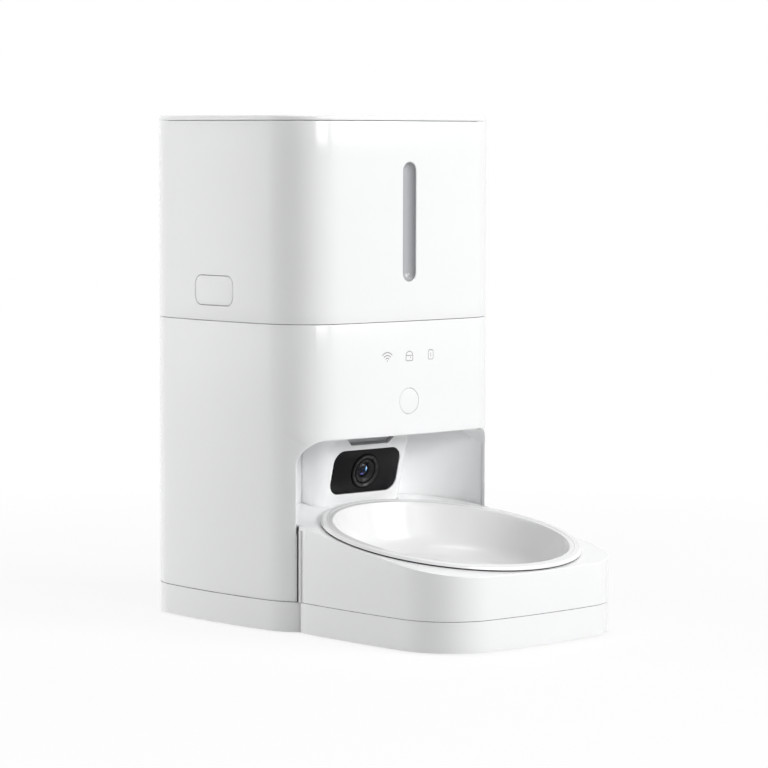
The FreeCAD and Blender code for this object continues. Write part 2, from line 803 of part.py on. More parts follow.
def make_outlet_seal():
    ring = [circle("dims.housing_radius + 0.6"), circle("dims.spigot_radius + dims.fit_gap")]
    height = f"{BODY_TOP} - {HOUSING_TOP}"
    keep("outlet_seal", extrude("outlet_seal_ring", ring, height, y=ROTOR_Y, z=HOUSING_TOP))


# Tower casing and the recess above the bowl


def recess_room(name, grow, front, bottom="0", top_grow="0"):
    """The hollow of the recess: an arch seen from the front, a round-backed bay seen from above."""
    half = f"(dims.recess_width / 2 + {grow})"
    high = f"(dims.recess_top + {grow} + {top_grow})"
    low = f"({SILL} - 2 + {bottom})"
    height = f"({high} - {low})"
    # The arch's lower corners lie below the part that is used
    arch = extrude(
        f"{name}_arch",
        [rounded(f"2 * {half}", f"2 * {height}", f"dims.recess_round + {grow}")],
        "dims.recess_depth + 60",
        FORWARDS,
        y=f"{RECESS_BACK} + {grow}",
        z=low,
    )
    corner = f"(dims.recess_corner_radius + {grow})"
    bay = extrude(
        f"{name}_bay",
        [rounded(f"2 * {half}", f"2 * ({RECESS_BACK} + {grow} - ({front}))", corner)],
        f"{height}",
        y=front,
        z=low,
    )
    return common(name, arch, bay)


BAY_FRONT = f"({FACE_Y} - 50)"


def arch_cut():
    """The arched opening in the tower's front wall, from the sill up."""
    height = f"(dims.recess_top - {SILL})"
    arch = extrude(
        "body_arch",
        [rounded("dims.recess_width", f"2 * {height}", "dims.recess_round")],
        "40",
        FORWARDS,
        y=f"{FACE_Y} + 20.5",
        z=SILL,
    )
    front = box(
        "body_arch_front",
        ("-100", "100"),
        (f"{FACE_Y} - 20", f"{FACE_Y} + 21"),
        (SILL, "dims.recess_top + 10"),
    )
    # Below the tray's top the opening is as wide as the tray's apron, which hides its edges
    steps = []
    for side in ("-", ""):
        reach = "(dims.recess_width / 2 - dims.apron_gap)"
        ends = (f"{side}100", f"{side}{reach}") if side else (reach, "100")
        level = (f"{SILL} - 2", f"{DECK_AT_FACE} - dims.shell_wall")
        steps.append(box(f"body_arch_step_{len(steps)}", ends, (f"{FACE_Y} - 22", f"{FACE_Y} + 23"), level))
    return cut("body_arch_cut", common("body_arch_whole", arch, front), *steps)


def make_body_shell():
    ring = [outline(TOWER_PLAN), outline(TOWER_PLAN, "dims.shell_wall")]
    casing = extrude("body_ring", ring, f"{BODY_TOP} - {BODY_BOTTOM}", y=TOWER_Y, z=BODY_BOTTOM)
    bosses = []
    for x, y in screw_places():
        bosses.append(cylinder(f"body_boss_{len(bosses)}", "5", "40", x, y, BODY_BOTTOM))
    inside = extrude("body_inside", [outline(TOWER_PLAN, "0.5")], "60", y=TOWER_Y, z=BODY_BOTTOM)
    boss_set = common("body_bosses", fuse("body_boss_set", *bosses), inside)
    ledges = []
    for side in (-1, 1):
        for end in (-1, 1):
            ledges.append(ledge_block(f"body_ledge_{side + 1}{end + 1}", side, end))
    solid = fuse("body_with_bosses", casing, boss_set, *ledges)
    bores = []
    for x, y in screw_places():
        bores.append(
            cylinder(f"body_bore_{len(bores)}", "dims.screw_radius", "30", x, y, f"{BODY_BOTTOM} - 1")
        )
    button = cylinder(
        "body_button_hole",
        "dims.button_radius + dims.button_gap",
        "20",
        y=f"{FACE_Y} + 10",
        z=BUTTON_Z,
        way=FORWARDS,
    )
    inlet = extrude(
        "body_inlet_hole",
        [rounded("dims.inlet_width + 0.2", "dims.inlet_height + 0.2", "3")],
        "30",
        BACKWARDS,
        x=INLET_X,
        y=f"{BACK_Y} - 12",
        z=INLET_Z,
    )
    keep("body_shell", cut("body_shell_cut", solid, arch_cut(), button, inlet, speaker_holes(), *bores))


def ledge_block(name, side, end):
    """A rib on the casing's side wall that carries the top deck."""
    reach = "(dims.tower_width / 2 - dims.shell_wall)"
    ends = (f"{reach} - 5", f"{reach} + 1") if side > 0 else (f"-{reach} - 1", f"-{reach} + 5")
    middle = f"({TOWER_Y} + {end} * 30)"
    return box(
        name,
        ends,
        (f"{middle} - 5", f"{middle} + 5"),
        (f"{BODY_TOP} - {DECK_THICK} - dims.fit_gap - 6", f"{BODY_TOP} - {DECK_THICK} - dims.fit_gap"),
    )


def screw_places():
    """Four screws near the tower's side walls."""
    reach = "(dims.tower_width / 2 - 7.4)"
    places = []
    for side in ("-", ""):
        for end in ("- 35", "+ 35"):
            places.append((f"{side}{reach}", f"{TOWER_Y} {end}"))
    return places


INLET_X = "45"
INLET_Z = "60"


def speaker_holes():
    """A round field of sound holes through the back wall."""
    holes = []
    pitch = 5.0
    for row in range(-3, 4):
        for column in range(-3, 4):
            x = (column + 0.5 * (row % 2)) * pitch
            z = row * pitch * math.sqrt(3) / 2
            if math.hypot(x, z) < 15.5:
                holes.append(
                    cylinder(
                        f"sound_hole_{len(holes)}",
                        "1",
                        "12",
                        x=str(round(x, 4)),
                        y=f"{BACK_Y} - 8",
                        z=f"dims.speaker_height + {z:.4f}",
                        way=BACKWARDS,
                    )
                )
    return fuse("sound_holes", *holes)


def make_recess_liner():
    grown = recess_room("liner_outer", "dims.inner_wall", BAY_FRONT)
    room = recess_room("liner_room", "0", BAY_FRONT, "-4")
    inside = extrude(
        "liner_inside", [outline(TOWER_PLAN, "dims.shell_wall + 0.4")], "150", y=TOWER_Y, z=f"{SILL} - 10"
    )
    shell = common("liner_shell", cut("liner_wall", grown, room), inside)
    mouth = box(
        "liner_mouth",
        ("-dims.chute_width / 2 - 2.4", "dims.chute_width / 2 + 2.4"),
        (f"{FACE_Y} + 3.4", f"{RECESS_BACK} - 8"),
        ("dims.recess_top - 1", "dims.recess_top + 6"),
    )
    back_hole = box(
        "liner_back_hole",
        ("-22", "22"),
        (f"{RECESS_BACK} - 4", f"{RECESS_BACK} + 6"),
        (f"{CAMERA_Z} - 14", f"{CAMERA_Z} + 12"),
    )
    keep("recess_liner", cut("recess_liner_cut", shell, mouth, back_hole))


def make_top_deck():
    plate = extrude(
        "deck_plate",
        [outline(TOWER_PLAN, TANK_INSET)],
        DECK_THICK,
        y=TOWER_Y,
        z=f"{BODY_TOP} - {DECK_THICK}",
    )
    hole = cylinder("deck_hole", "dims.housing_radius + 1", "20", y=ROTOR_Y, z=f"{BODY_TOP} - 10")
    slots = [
        finger_slot(f"deck_slot_{side + 1}", side, f"{BODY_TOP} - 10", f"{BODY_TOP} + 2")
        for side in (-1, 1)
    ]
    keep("top_deck", cut("top_deck_cut", plate, hole, *slots))


def tower_foot_places():
    """Four feet, in front of the cell bay and behind its front edge, clear of the door's sides."""
    side = "(3 * dims.cell_radius + 3.2 + dims.foot_radius + dims.foot_margin)"
    rows = (f"{TOWER_Y} - 30", f"{TOWER_Y} + 52")
    return [(f"{way} * {side}", y) for y in rows for way in ("-1", "1")]


def base_pan(name, plan, centre_y):
    """A pan with a floor and a rim, open at the top."""
    block = extrude(
        f"{name}_block", [outline(plan)], f"{BASE_TOP} - dims.foot_proud", y=centre_y, z="dims.foot_proud"
    )
    hollow = extrude(
        f"{name}_hollow",
        [outline(plan, "dims.shell_wall")],
        "40",
        y=centre_y,
        z="dims.foot_proud + dims.shell_wall",
    )
    return block, hollow


def foot_pockets(name, places):
    pockets = []
    for x, y in places:
        pockets.append(
            cylinder(
                f"{name}_{len(pockets)}",
                "dims.foot_radius + 0.2",
                "dims.foot_height - dims.foot_proud",
                x,
                y,
                "dims.foot_proud",
            )
        )
    return pockets


def battery_span():
    half = "(3 * dims.cell_radius + 3.2)"
    return half, "dims.battery_front", "(dims.battery_front + dims.cell_length + 6)"


def make_base_cover():
    block, hollow = base_pan("base", TOWER_PLAN, TOWER_Y)
    columns = [
        cylinder(f"base_column_{index}", "4.6", f"{BASE_TOP} - dims.foot_proud", x, y, "dims.foot_proud")
        for index, (x, y) in enumerate(screw_places())
    ]
    pan = fuse("base_pan", cut("base_open", block, hollow), *columns)
    half, front, back = battery_span()
    door = box(
        "base_door_hole",
        (f"-{half} + 1.2", f"{half} - 1.2"),
        (f"{front} + 1.2", f"{back} - 1.2"),
        ("0", "dims.foot_proud + dims.shell_wall + 1"),
    )
    bores = []
    for index, (x, y) in enumerate(screw_places()):
        bores.append(cylinder(f"base_bore_{index}", "dims.screw_radius + 0.2", "40", x, y, "0"))
        bores.append(cylinder(f"base_head_{index}", "dims.screw_head_radius + 0.3", "5", x, y, "0"))
    plate = bridge_room("base_bridge_room", "0.2", "1.3")
    holes = bridge_bores("base_bridge_bore", BRIDGE_TOWER)
    keep(
        "base_cover",
        cut(
            "base_cover_cut",
            pan,
            door,
            plate,
            *bores,
            *holes,
            *foot_pockets("base_foot", tower_foot_places()),
        ),
    )


BRIDGE_TOWER = [("-20", f"{FACE_Y} + 20"), ("20", f"{FACE_Y} + 20")]
BRIDGE_TRAY = [("-20", f"{FACE_Y} - 22"), ("20", f"{FACE_Y} - 22")]


def bridge_room(name, grow, height):
    """The flat room of the plate that ties the tray to the tower underneath."""
    return box(
        name,
        (f"-30 - {grow}", f"30 + {grow}"),
        (f"{FACE_Y} - 30 - {grow}", f"{FACE_Y} + 28 + {grow}"),
        ("dims.foot_proud", f"dims.foot_proud + {height}"),
    )


def bridge_bores(name, places):
    return [
        cylinder(f"{name}_{index}", "dims.screw_radius", "7", x, y, "0")
        for index, (x, y) in enumerate(places)
    ]


def make_joining_plate():
    plate = bridge_room("bridge_plate", "0", "1.2")
    holes = [
        cylinder(f"bridge_hole_{index}", "dims.screw_radius + 0.15", "9", x, y, "0")
        for index, (x, y) in enumerate(BRIDGE_TOWER + BRIDGE_TRAY)
    ]
    keep("joining_plate", cut("joining_plate_cut", plate, *holes))


def screw(name, x, y, head_bottom, head_height, length):
    head = cylinder(f"{name}_head", "dims.screw_head_radius", head_height, x, y, head_bottom)
    shank = cylinder(f"{name}_shank", "dims.screw_radius - 0.05", length, x, y, head_bottom)
    return fuse(name, head, shank)


def make_screws():
    places = screw_places() + TRAY_SCREWS
    long_screws = [
        screw(f"base_screw_{index}", x, y, "3", "1.9", "22") for index, (x, y) in enumerate(places)
    ]
    keep("base_screws", group("base_screw_set", *long_screws))
    short = [
        screw(f"joining_screw_{index}", x, y, "0.4", "0.6", "3")
        for index, (x, y) in enumerate(BRIDGE_TOWER + BRIDGE_TRAY)
    ]
    keep("joining_screws", group("joining_screw_set", *short))


def make_feet():
    for node, places in (("tower_feet", tower_foot_places()), ("tray_feet", TRAY_FEET)):
        feet = [
            cylinder(f"{node}_{index}", "dims.foot_radius", "dims.foot_height", x, y, "0")
            for index, (x, y) in enumerate(places)
        ]
        keep(node, group(f"{node}_set", *feet))


# Dispensing drive


def make_rotor_housing():
    outer = cylinder(
        "housing_cup",
        "dims.housing_radius + dims.inner_wall",
        "dims.housing_depth",
        y=ROTOR_Y,
        z=HOUSING_BOTTOM,
    )
    flange = cylinder("housing_flange", "dims.housing_radius + 9", "2", y=ROTOR_Y, z=f"{HOUSING_TOP} - 2")
    room = cylinder(
        "housing_room",
        "dims.housing_radius",
        "dims.housing_depth",
        y=ROTOR_Y,
        z=f"{HOUSING_BOTTOM} + dims.inner_wall",
    )
    bore = cylinder(
        "housing_bore", "dims.rotor_shaft + dims.running_gap", "10", y=ROTOR_Y, z=f"{HOUSING_BOTTOM} - 2"
    )
    outlet = box(
        "housing_outlet",
        ("-dims.chute_width / 2", "dims.chute_width / 2"),
        (f"{ROTOR_Y} - 41", f"{ROTOR_Y} - dims.outlet_setback"),
        (f"{HOUSING_BOTTOM} - 2", f"{HOUSING_BOTTOM} + 4"),
    )
    keep(
        "rotor_housing", cut("rotor_housing_cut", fuse("housing_solid", outer, flange), room, bore, outlet)
    )


def make_rotor():
    floor = f"({HOUSING_BOTTOM} + dims.inner_wall + 1)"
    shaft = cylinder(
        "rotor_shaft_rod",
        "dims.rotor_shaft",
        f"{floor} - ({GEAR_COVER_Z} + 0.3) + 5",
        y=ROTOR_Y,
        z=f"{GEAR_COVER_Z} + 0.3",
    )
    hub = cylinder("rotor_hub_drum", "dims.hub_radius", "dims.rotor_height - 1", y=ROTOR_Y, z=floor)
    cap = cone(
        "rotor_hub_cap", "dims.hub_radius", "4", "2.4", y=ROTOR_Y, z=f"{floor} + dims.rotor_height - 1"
    )
    keep("rotor_hub", fuse("rotor_hub_solid", shaft, hub, cap))
    body = new_body("rotor_paddle")
    sleeve = [circle("dims.hub_radius + 3"), circle("dims.hub_radius + 0.05")]
    pad(body, "paddle_sleeve", sleeve, "dims.rotor_height - 1")
    start = "(dims.hub_radius + 2)"
    vane = rectangle(f"dims.rotor_radius - {start}", "2.4", f"(dims.rotor_radius + {start}) / 2")
    first = pad(body, "paddle_vane", [vane], "dims.rotor_height - 1")
    doc.recompute()
    ring = body.newObject("PartDesign::PolarPattern", "paddle_vanes")
    ring.Originals = [first]
    ring.Axis = (first.Profile[0], ["N_Axis"])
    ring.Angle = 360
    ring.Occurrences = 6
    body.Tip = ring
    doc.recompute()
    place(body, y=ROTOR_Y, z=floor)


def gear_shape(teeth, width, bore, turned):
    """A spur gear with involute flanks, thinned a little for backlash, about the Z axis."""
    module = number("dims.gear_module")
    pitch, outer, root = teeth * module / 2, (teeth / 2 + 1) * module, (teeth / 2 - 1.25) * module
    base = pitch * math.cos(math.radians(20))
    thin = 0.12 / pitch

    def unroll(radius):
        """The angle that an involute has turned through at a radius."""
        if radius <= base:
            return 0.0
        angle = math.acos(base / radius)
        return math.tan(angle) - angle

    def point(radius, angle):
        return FreeCAD.Vector(radius * math.cos(angle), radius * math.sin(angle), 0)

    half = math.pi / (2 * teeth) - thin + unroll(pitch)
    low = max(base, root)
    foot = half - unroll(low)
    levels = [low + (outer - low) * step / 5 for step in range(6)]
    edges = []
    step = 2 * math.pi / teeth
    for index in range(teeth):
        middle = turned + index * step
        rising = [point(radius, middle - half + unroll(radius)) for radius in levels]
        falling = [point(radius, middle + half - unroll(radius)) for radius in reversed(levels)]
        foot_in, foot_out = point(root, middle - foot), point(root, middle + foot)
        if low - root > 1e-6:
            edges.append(Part.makeLine(foot_in, rising[0]))
        for side in (rising, falling):
            curve = Part.BSplineCurve()
            curve.interpolate(side)
            if side is falling:
                edges.append(Part.Arc(rising[-1], point(outer, middle), falling[0]).toShape())
            edges.append(curve.toShape())
        if low - root > 1e-6:
            edges.append(Part.makeLine(falling[-1], foot_out))
        next_foot = point(root, middle + step - foot)
        edges.append(Part.Arc(foot_out, point(root, middle + step / 2), next_foot).toShape())
    wheel = Part.Face(Part.Wire(edges)).extrude(FreeCAD.Vector(0, 0, width))
    hole = Part.makeCylinder(bore, 3 * width, FreeCAD.Vector(0, 0, -width))
    return wheel.cut(hole)


def make_gears():
    width = number("dims.gear_width")
    gear = doc.addObject("Part::Feature", "rotor_gear_wheel")
    rotor_teeth = int(number("dims.rotor_teeth"))
    pinion_teeth = int(number("dims.pinion_teeth"))
    # The wheel's tooth points at the pinion, whose gap points back
    gear.Shape = gear_shape(rotor_teeth, width, number("dims.rotor_shaft + 0.02"), math.pi / 2)
    place(gear, y=ROTOR_Y, z=GEAR_Z)
    keep("rotor_gear", gear)
    pinion = doc.addObject("Part::Feature", "drive_pinion_wheel")
    gap_turn = -math.pi / 2 + math.pi / pinion_teeth
    pinion.Shape = gear_shape(pinion_teeth, width, number("dims.motor_shaft_radius + 0.02"), gap_turn)
    place(pinion, y=DRIVE_Y, z=GEAR_Z)
    keep("drive_pinion", pinion)
    rod = cylinder(
        "motor_shaft_rod",
        "dims.motor_shaft_radius",
        f"{GEAR_Z} + dims.gear_width + 1 - ({GEAR_COVER_Z} - 14)",
        y=DRIVE_Y,
        z=f"{GEAR_COVER_Z} - 14",
    )
    keep("motor_shaft", rod)


def make_gear_cover():
    """A shallow tray under the gears, with a bearing for the rotor's shaft."""
    wheel = "(dims.gear_module * (dims.rotor_teeth / 2 + 1) + 0.8)"
    small = "(dims.gear_module * (dims.pinion_teeth / 2 + 1) + 0.8)"
    height = f"({HOUSING_BOTTOM} - dims.fit_gap - {GEAR_COVER_Z} + 2)"
    low = f"({GEAR_COVER_Z} - 2)"
    tray = fuse(
        "cover_block",
        cylinder("cover_round", f"{wheel} + 2", height, y=ROTOR_Y, z=low),
        cylinder("cover_small", f"{small} + 2", height, y=DRIVE_Y, z=low),
    )
    room = fuse(
        "cover_room",
        cylinder("cover_round_room", wheel, "40", y=ROTOR_Y, z=GEAR_COVER_Z),
        cylinder("cover_small_room", small, "40", y=DRIVE_Y, z=GEAR_COVER_Z),
    )
    chute_side = box(
        "cover_chute_side",
        ("-60", "60"),
        (f"{ROTOR_Y} - 60", f"{ROTOR_Y} - dims.outlet_setback + 2.4"),
        (f"{GEAR_COVER_Z} - 10", f"{HOUSING_BOTTOM} + 2"),
    )
    open_tray = cut("cover_open", tray, room, chute_side)
    boss = cylinder("cover_boss", "8", "6", y=ROTOR_Y, z=f"{GEAR_COVER_Z} - 6")
    bearing = cylinder(
        "cover_bearing", "dims.rotor_shaft + dims.running_gap", "3", y=ROTOR_Y, z=GEAR_COVER_Z
    )
    shaft_hole = cylinder(
        "cover_shaft_hole", "dims.motor_shaft_radius + 1", "10", y=DRIVE_Y, z=f"{GEAR_COVER_Z} - 5"
    )
    keep("gear_cover", cut("gear_cover_cut", fuse("cover_with_boss", open_tray, boss), bearing, shaft_hole))


def make_motor():
    top = f"({GEAR_COVER_Z} - 2 - dims.fit_gap)"
    case = box(
        "gearbox_case", ("-17", "17"), (f"{DRIVE_Y} - 13", f"{DRIVE_Y} + 15"), (f"{top} - 20", top)
    )
    bore = cylinder(
        "gearbox_bore", "dims.motor_shaft_radius + dims.running_gap", "20", y=DRIVE_Y, z=f"{top} - 14"
    )
    keep("gearbox", cut("gearbox_cut", case, bore))
    can = cylinder(
        "motor_can_body",
        "dims.motor_radius",
        "dims.motor_length",
        y=f"{DRIVE_Y} + 1",
        z=f"{top} - 20 - dims.motor_length",
    )
    cap = cylinder("motor_can_cap", "5", "2", y=f"{DRIVE_Y} + 1", z=f"{top} - 22 - dims.motor_length")
    keep("motor_can", fuse("motor_can_solid", can, cap))


def make_chute():
    """A duct that slopes forwards from under the rotor to the top of the recess."""
    top = f"({HOUSING_BOTTOM} - dims.fit_gap)"
    low = "(dims.recess_top + 0.3)"
    outer_line = [
        (f"{ROTOR_Y} - dims.outlet_setback + 2", top),
        (f"{ROTOR_Y} - 43", top),
        (f"{FACE_Y} + 6.2", f"{low} + 1"),
        (f"{FACE_Y} + 6.2", low),
        (f"{CAMERA_Y} - 1.5", low),
        (f"{CAMERA_Y} - 1.5", "dims.recess_top - 7.8"),
    ]
    outer = extrude("chute_outer", [polygon(*outer_line)], "dims.chute_width + 4", SIDEWAYS, middle=True)
    inner_line = [
        (f"{ROTOR_Y} - dims.outlet_setback", f"{top} + 1"),
        (f"{ROTOR_Y} - 40.5", f"{top} + 1"),
        (f"{FACE_Y} + 8.4", "dims.recess_top + 2.4"),
        (f"{FACE_Y} + 8.4", "dims.recess_top - 12"),
        (f"{CAMERA_Y} - 12", "dims.recess_top - 12"),
        (f"{CAMERA_Y} - 4.3", "dims.recess_top - 7.6"),
    ]
    inner = extrude("chute_inner", [polygon(*inner_line)], "dims.chute_width", SIDEWAYS, middle=True)
    keep("food_chute", cut("food_chute_cut", outer, inner))
    sensors = []
    for side in (-1, 1):
        start = "(dims.chute_width / 2 + 2.1)"
        sensors.append(
            cylinder(
                f"chute_sensor_{side + 1}",
                "2.5",
                "6",
                x=start if side > 0 else f"-{start} - 6",
                y=f"{ROTOR_Y} - 34",
                z=f"{HOUSING_BOTTOM} - 10",
                way=((0, 1, 0), "90"),
            )
        )
    keep("chute_sensors", group("chute_sensor_pair", *sensors))


# Camera


def camera_point(depth):
    """A point on the camera's axis, measured inwards from the face of its pod."""
    return {
        "y": f"{CAMERA_Y} + ({depth}) * cos(dims.camera_tilt)",
        "z": f"{CAMERA_Z} + ({depth}) * sin(dims.camera_tilt)",
        "way": INTO_CAMERA,
    }


def make_camera_pod():
    lean = "tan(dims.camera_tilt)"
    low = f"({DECK_AT_FACE} - 5)"
    high = "(dims.recess_top - 0.2)"
    back = f"({RECESS_BACK} - 0.4)"

    def face(level, set_in):
        return (f"{CAMERA_Y} - ({level} - {CAMERA_Z}) * {lean} + {set_in}", level)

    body = new_body("camera_pod")
    sketch = body_sketch(
        body, "pod_side", "YZ_Plane", polygon(face(low, "0"), (back, low), (back, high), face(high, "0"))
    )
    block = body.newObject("PartDesign::Pad", "pod_block")
    block.Profile = sketch
    block.Midplane = True
    bind(block, Length="dims.pod_width")
    doc.recompute()
    front = number(CAMERA_Y)
    half = number("dims.pod_width / 2")

    def long_front_edge(edge):
        middle = edge.BoundBox.Center
        at_side = abs(abs(middle.x) - half) < 1e-4
        return at_side and middle.y < front + 3 and edge.Length > 20

    round_edges(body, "pod_rounding", "dims.pod_round", long_front_edge)
    hollow = extrude(
        "pod_hollow",
        [
            polygon(
                face(f"{low} + 2.2", "2.4"),
                (f"{back} + 5", f"{low} + 2.2"),
                (f"{back} + 5", f"{high} + 5"),
                face(f"{high} + 5", "2.4"),
            )
        ],
        "dims.pod_width - 16",
        SIDEWAYS,
        middle=True,
    )
    window = extrude(
        "pod_window",
        [rounded("dims.panel_width + 0.5", "dims.panel_height + 0.5", "dims.panel_corner + 0.25")],
        "12",
        **camera_point("-4"),
    )
    lip = "dims.recess_top - 8.6"
    flare = "10.4"
    mouth = extrude(
        "pod_mouth",
        [
            polygon(
                ("-dims.mouth_width / 2", lip),
                ("dims.mouth_width / 2", lip),
                (f"dims.mouth_width / 2 + {flare}", f"{lip} + {flare}"),
                (f"-dims.mouth_width / 2 - {flare}", f"{lip} + {flare}"),
            )
        ],
        "20",
        FORWARDS,
        y=f"{CAMERA_Y} + 3",
    )
    rounded_body = parts.pop("camera_pod")
    rounded_body.Label = "camera_pod_block"
    fitted = common("pod_fitted", rounded_body, recess_room("pod_limit", "-0.4", BAY_FRONT))
    keep("camera_pod", cut("camera_pod_cut", fitted, hollow, window, mouth))


def make_camera():
    shape = rounded("dims.panel_width", "dims.panel_height", "dims.panel_corner")
    plate = extrude("panel_plate", [shape], "dims.panel_thickness", **camera_point("0.3"))
    hole = cylinder("panel_hole", "dims.barrel_radius + 0.2", "8", **camera_point("-2"))
    keep("camera_panel", cut("camera_panel_cut", plate, hole))
    outer = cylinder("ring_outer", "dims.lens_radius", "1.1", **camera_point("-0.8"))
    inner = cylinder("ring_inner", "dims.barrel_radius + 0.2", "4", **camera_point("-2"))
    keep("lens_ring", cut("lens_ring_cut", outer, inner))
    tube = cylinder("barrel_tube", "dims.barrel_radius", "13.5", **camera_point("-0.4"))
    mouth = cylinder("barrel_mouth", "dims.barrel_radius - 1.2", "2.4", **camera_point("-0.5"))
    throat = cylinder("barrel_throat", "4.6", "8", **camera_point("-0.5"))
    keep("lens_barrel", cut("lens_barrel_cut", tube, mouth, throat))
    ball = doc.addObject("Part::Sphere", "lens_ball")
    bind(ball, Radius="7")
    spot = camera_point("7.4")
    place(ball, y=spot["y"], z=spot["z"])
    stem = cylinder("lens_stem", "4.4", "6", **camera_point("1"))
    keep("lens_glass", common("lens_glass_common", ball, stem))
    board = extrude("camera_board_plate", [rectangle("40", "26")], "1.6", **camera_point("13.4"))
    keep("camera_board", board)
    lights = []
    for x in ("-20", "20"):
        for rise in ("-6", "6"):
            spot = camera_point("2.6")
            spot["y"] += f" - ({rise}) * sin(dims.camera_tilt)"
            spot["z"] += f" + ({rise}) * cos(dims.camera_tilt)"
            lights.append(cylinder(f"ir_led_{len(lights)}", "2.5", "10.7", x=x, **spot))
    keep("ir_leds", group("ir_led_set", *lights))


# Feed button, status lights and boards


def make_button():
    wall = "dims.shell_wall"
    face = cylinder(
        "button_face",
        "dims.button_radius",
        f"{wall} + 1",
        y=f"{FACE_Y} + {wall} + 1.05",
        z=BUTTON_Z,
        way=FORWARDS,
    )
    flange = cylinder(
        "button_flange",
        "dims.button_radius + 1.6",
        "1",
        y=f"{FACE_Y} + {wall} + 1.55",
        z=BUTTON_Z,
        way=FORWARDS,
    )
    stem_end = f"({FRONT_BOARD} - 2.2 - dims.button_travel - 0.15)"
    stem = cylinder("button_stem", "1.8", "5", y=stem_end, z=BUTTON_Z, way=FORWARDS)
    keep("feed_button", fuse("feed_button_solid", face, flange, stem))
    start = f"({FACE_Y} + {wall} + 1.75)"
    board_front = FRONT_BOARD
    spring(
        "button_spring",
        "3.2",
        "0.5",
        f"({board_front} - {start} - 0.1)",
        4,
        "0",
        f"{board_front} - 0.05",
        BUTTON_Z,
        FORWARDS,
    )


FRONT_BOARD = f"({FACE_Y} + dims.shell_wall + 9.4)"


def make_front_board():
    plate = box(
        "front_board_plate",
        ("-34", "34"),
        (FRONT_BOARD, f"{FRONT_BOARD} + 1.6"),
        (f"{BUTTON_Z} - 10", f"{ICONS_Z} + 8"),
    )
    keep("front_board", plate)
    switch = box(
        "feed_switch_case",
        ("-1.9", "1.9"),
        (f"{FRONT_BOARD} - 2.2", FRONT_BOARD),
        (f"{BUTTON_Z} - 1.9", f"{BUTTON_Z} + 1.9"),
    )
    keep("feed_switch", switch)
    bar = box(
        "guide_bar",
        ("-26", "26"),
        (f"{FRONT_BOARD} - 2.5", f"{FRONT_BOARD} - 0.3"),
        (f"{ICONS_Z} - 4", f"{ICONS_Z} + 4"),
    )
    pegs = []
    for step in (-1, 0, 1):
        pegs.append(
            box(
                f"guide_peg_{step + 1}",
                (f"{step * 18.7} - 4", f"{step * 18.7} + 4"),
                (f"{FACE_Y} + dims.shell_wall + 1", f"{FRONT_BOARD} - 1"),
                (f"{ICONS_Z} - 4", f"{ICONS_Z} + 4"),
            )
        )
    keep("status_light_guide", fuse("status_light_guide_solid", bar, *pegs))


BOARD_Z = "(dims.foot_proud + dims.shell_wall + 2 * dims.cell_radius + 10)"


def make_main_board():
    top = f"({BOARD_Z} + 1.6)"
    front = "dims.battery_front"
    plate = box("main_board_plate", ("-46", "46"), (front, f"{front} + 54"), (BOARD_Z, top))
    chips = [
        box("main_chip", ("-9", "9"), (f"{front} + 14", f"{front} + 32"), (BOARD_Z, f"{top} + 1.8")),
        box("radio_can", ("-40", "-24"), (f"{front} + 10", f"{front} + 34"), (BOARD_Z, f"{top} + 2.8")),
        box("plug_row", ("18", "36"), (f"{front} + 43", f"{front} + 51"), (BOARD_Z, f"{top} + 6.4")),
    ]
    keep("main_board", fuse("main_board_solid", plate, *chips))


def make_speaker():
    start = f"({BACK_Y} - dims.shell_wall - dims.fit_gap - 0.4)"
    rim = cylinder(
        "speaker_rim", "dims.speaker_radius", "3", y=start, z="dims.speaker_height", way=FORWARDS
    )
    magnet = cylinder("speaker_magnet", "10", "7.6", y=start, z="dims.speaker_height", way=FORWARDS)
    dish = cylinder(
        "speaker_dish",
        "dims.speaker_radius - 2.5",
        "2",
        y=f"{start} + 1",
        z="dims.speaker_height",
        way=FORWARDS,
    )
    keep("speaker", cut("speaker_cut", fuse("speaker_solid", rim, magnet), dish))


def make_power_inlet():
    start = f"({BACK_Y} - dims.shell_wall - 0.9)"
    case = extrude(
        "inlet_case",
        [rounded("dims.inlet_width + 4", "dims.inlet_height + 4", "3")],
        "dims.inlet_depth + 2",
        FORWARDS,
        x=INLET_X,
        y=f"{start} - 1.4",
        z=INLET_Z,
    )
    bay = extrude(
        "inlet_bay",
        [rounded("dims.inlet_width", "dims.inlet_height", "2.5")],
        "dims.inlet_depth",
        FORWARDS,
        x=INLET_X,
        y=f"{start} + 0.5",
        z=INLET_Z,
    )
    shell_mouth = extrude(
        "inlet_socket_shell", [rounded("10", "4.2", "2"), rounded("9", "3.2", "1.5")], "3", FORWARDS,
        x=INLET_X, y=f"{start} - dims.inlet_depth + 3.4", z=INLET_Z,
    )
    tongue = box(
        "inlet_tongue",
        (f"{INLET_X} - 3.3", f"{INLET_X} + 3.3"),
        (f"{start} - dims.inlet_depth - 0.5", f"{start} - dims.inlet_depth + 2.6"),
        (f"{INLET_Z} - 0.35", f"{INLET_Z} + 0.35"),
    )
    keep("power_inlet", fuse("power_inlet_solid", cut("inlet_cup", case, bay), shell_mouth, tongue))


# Back-up cells in the foot of the tower


CELL_FLOOR = "(dims.foot_proud + dims.shell_wall + 0.1)"


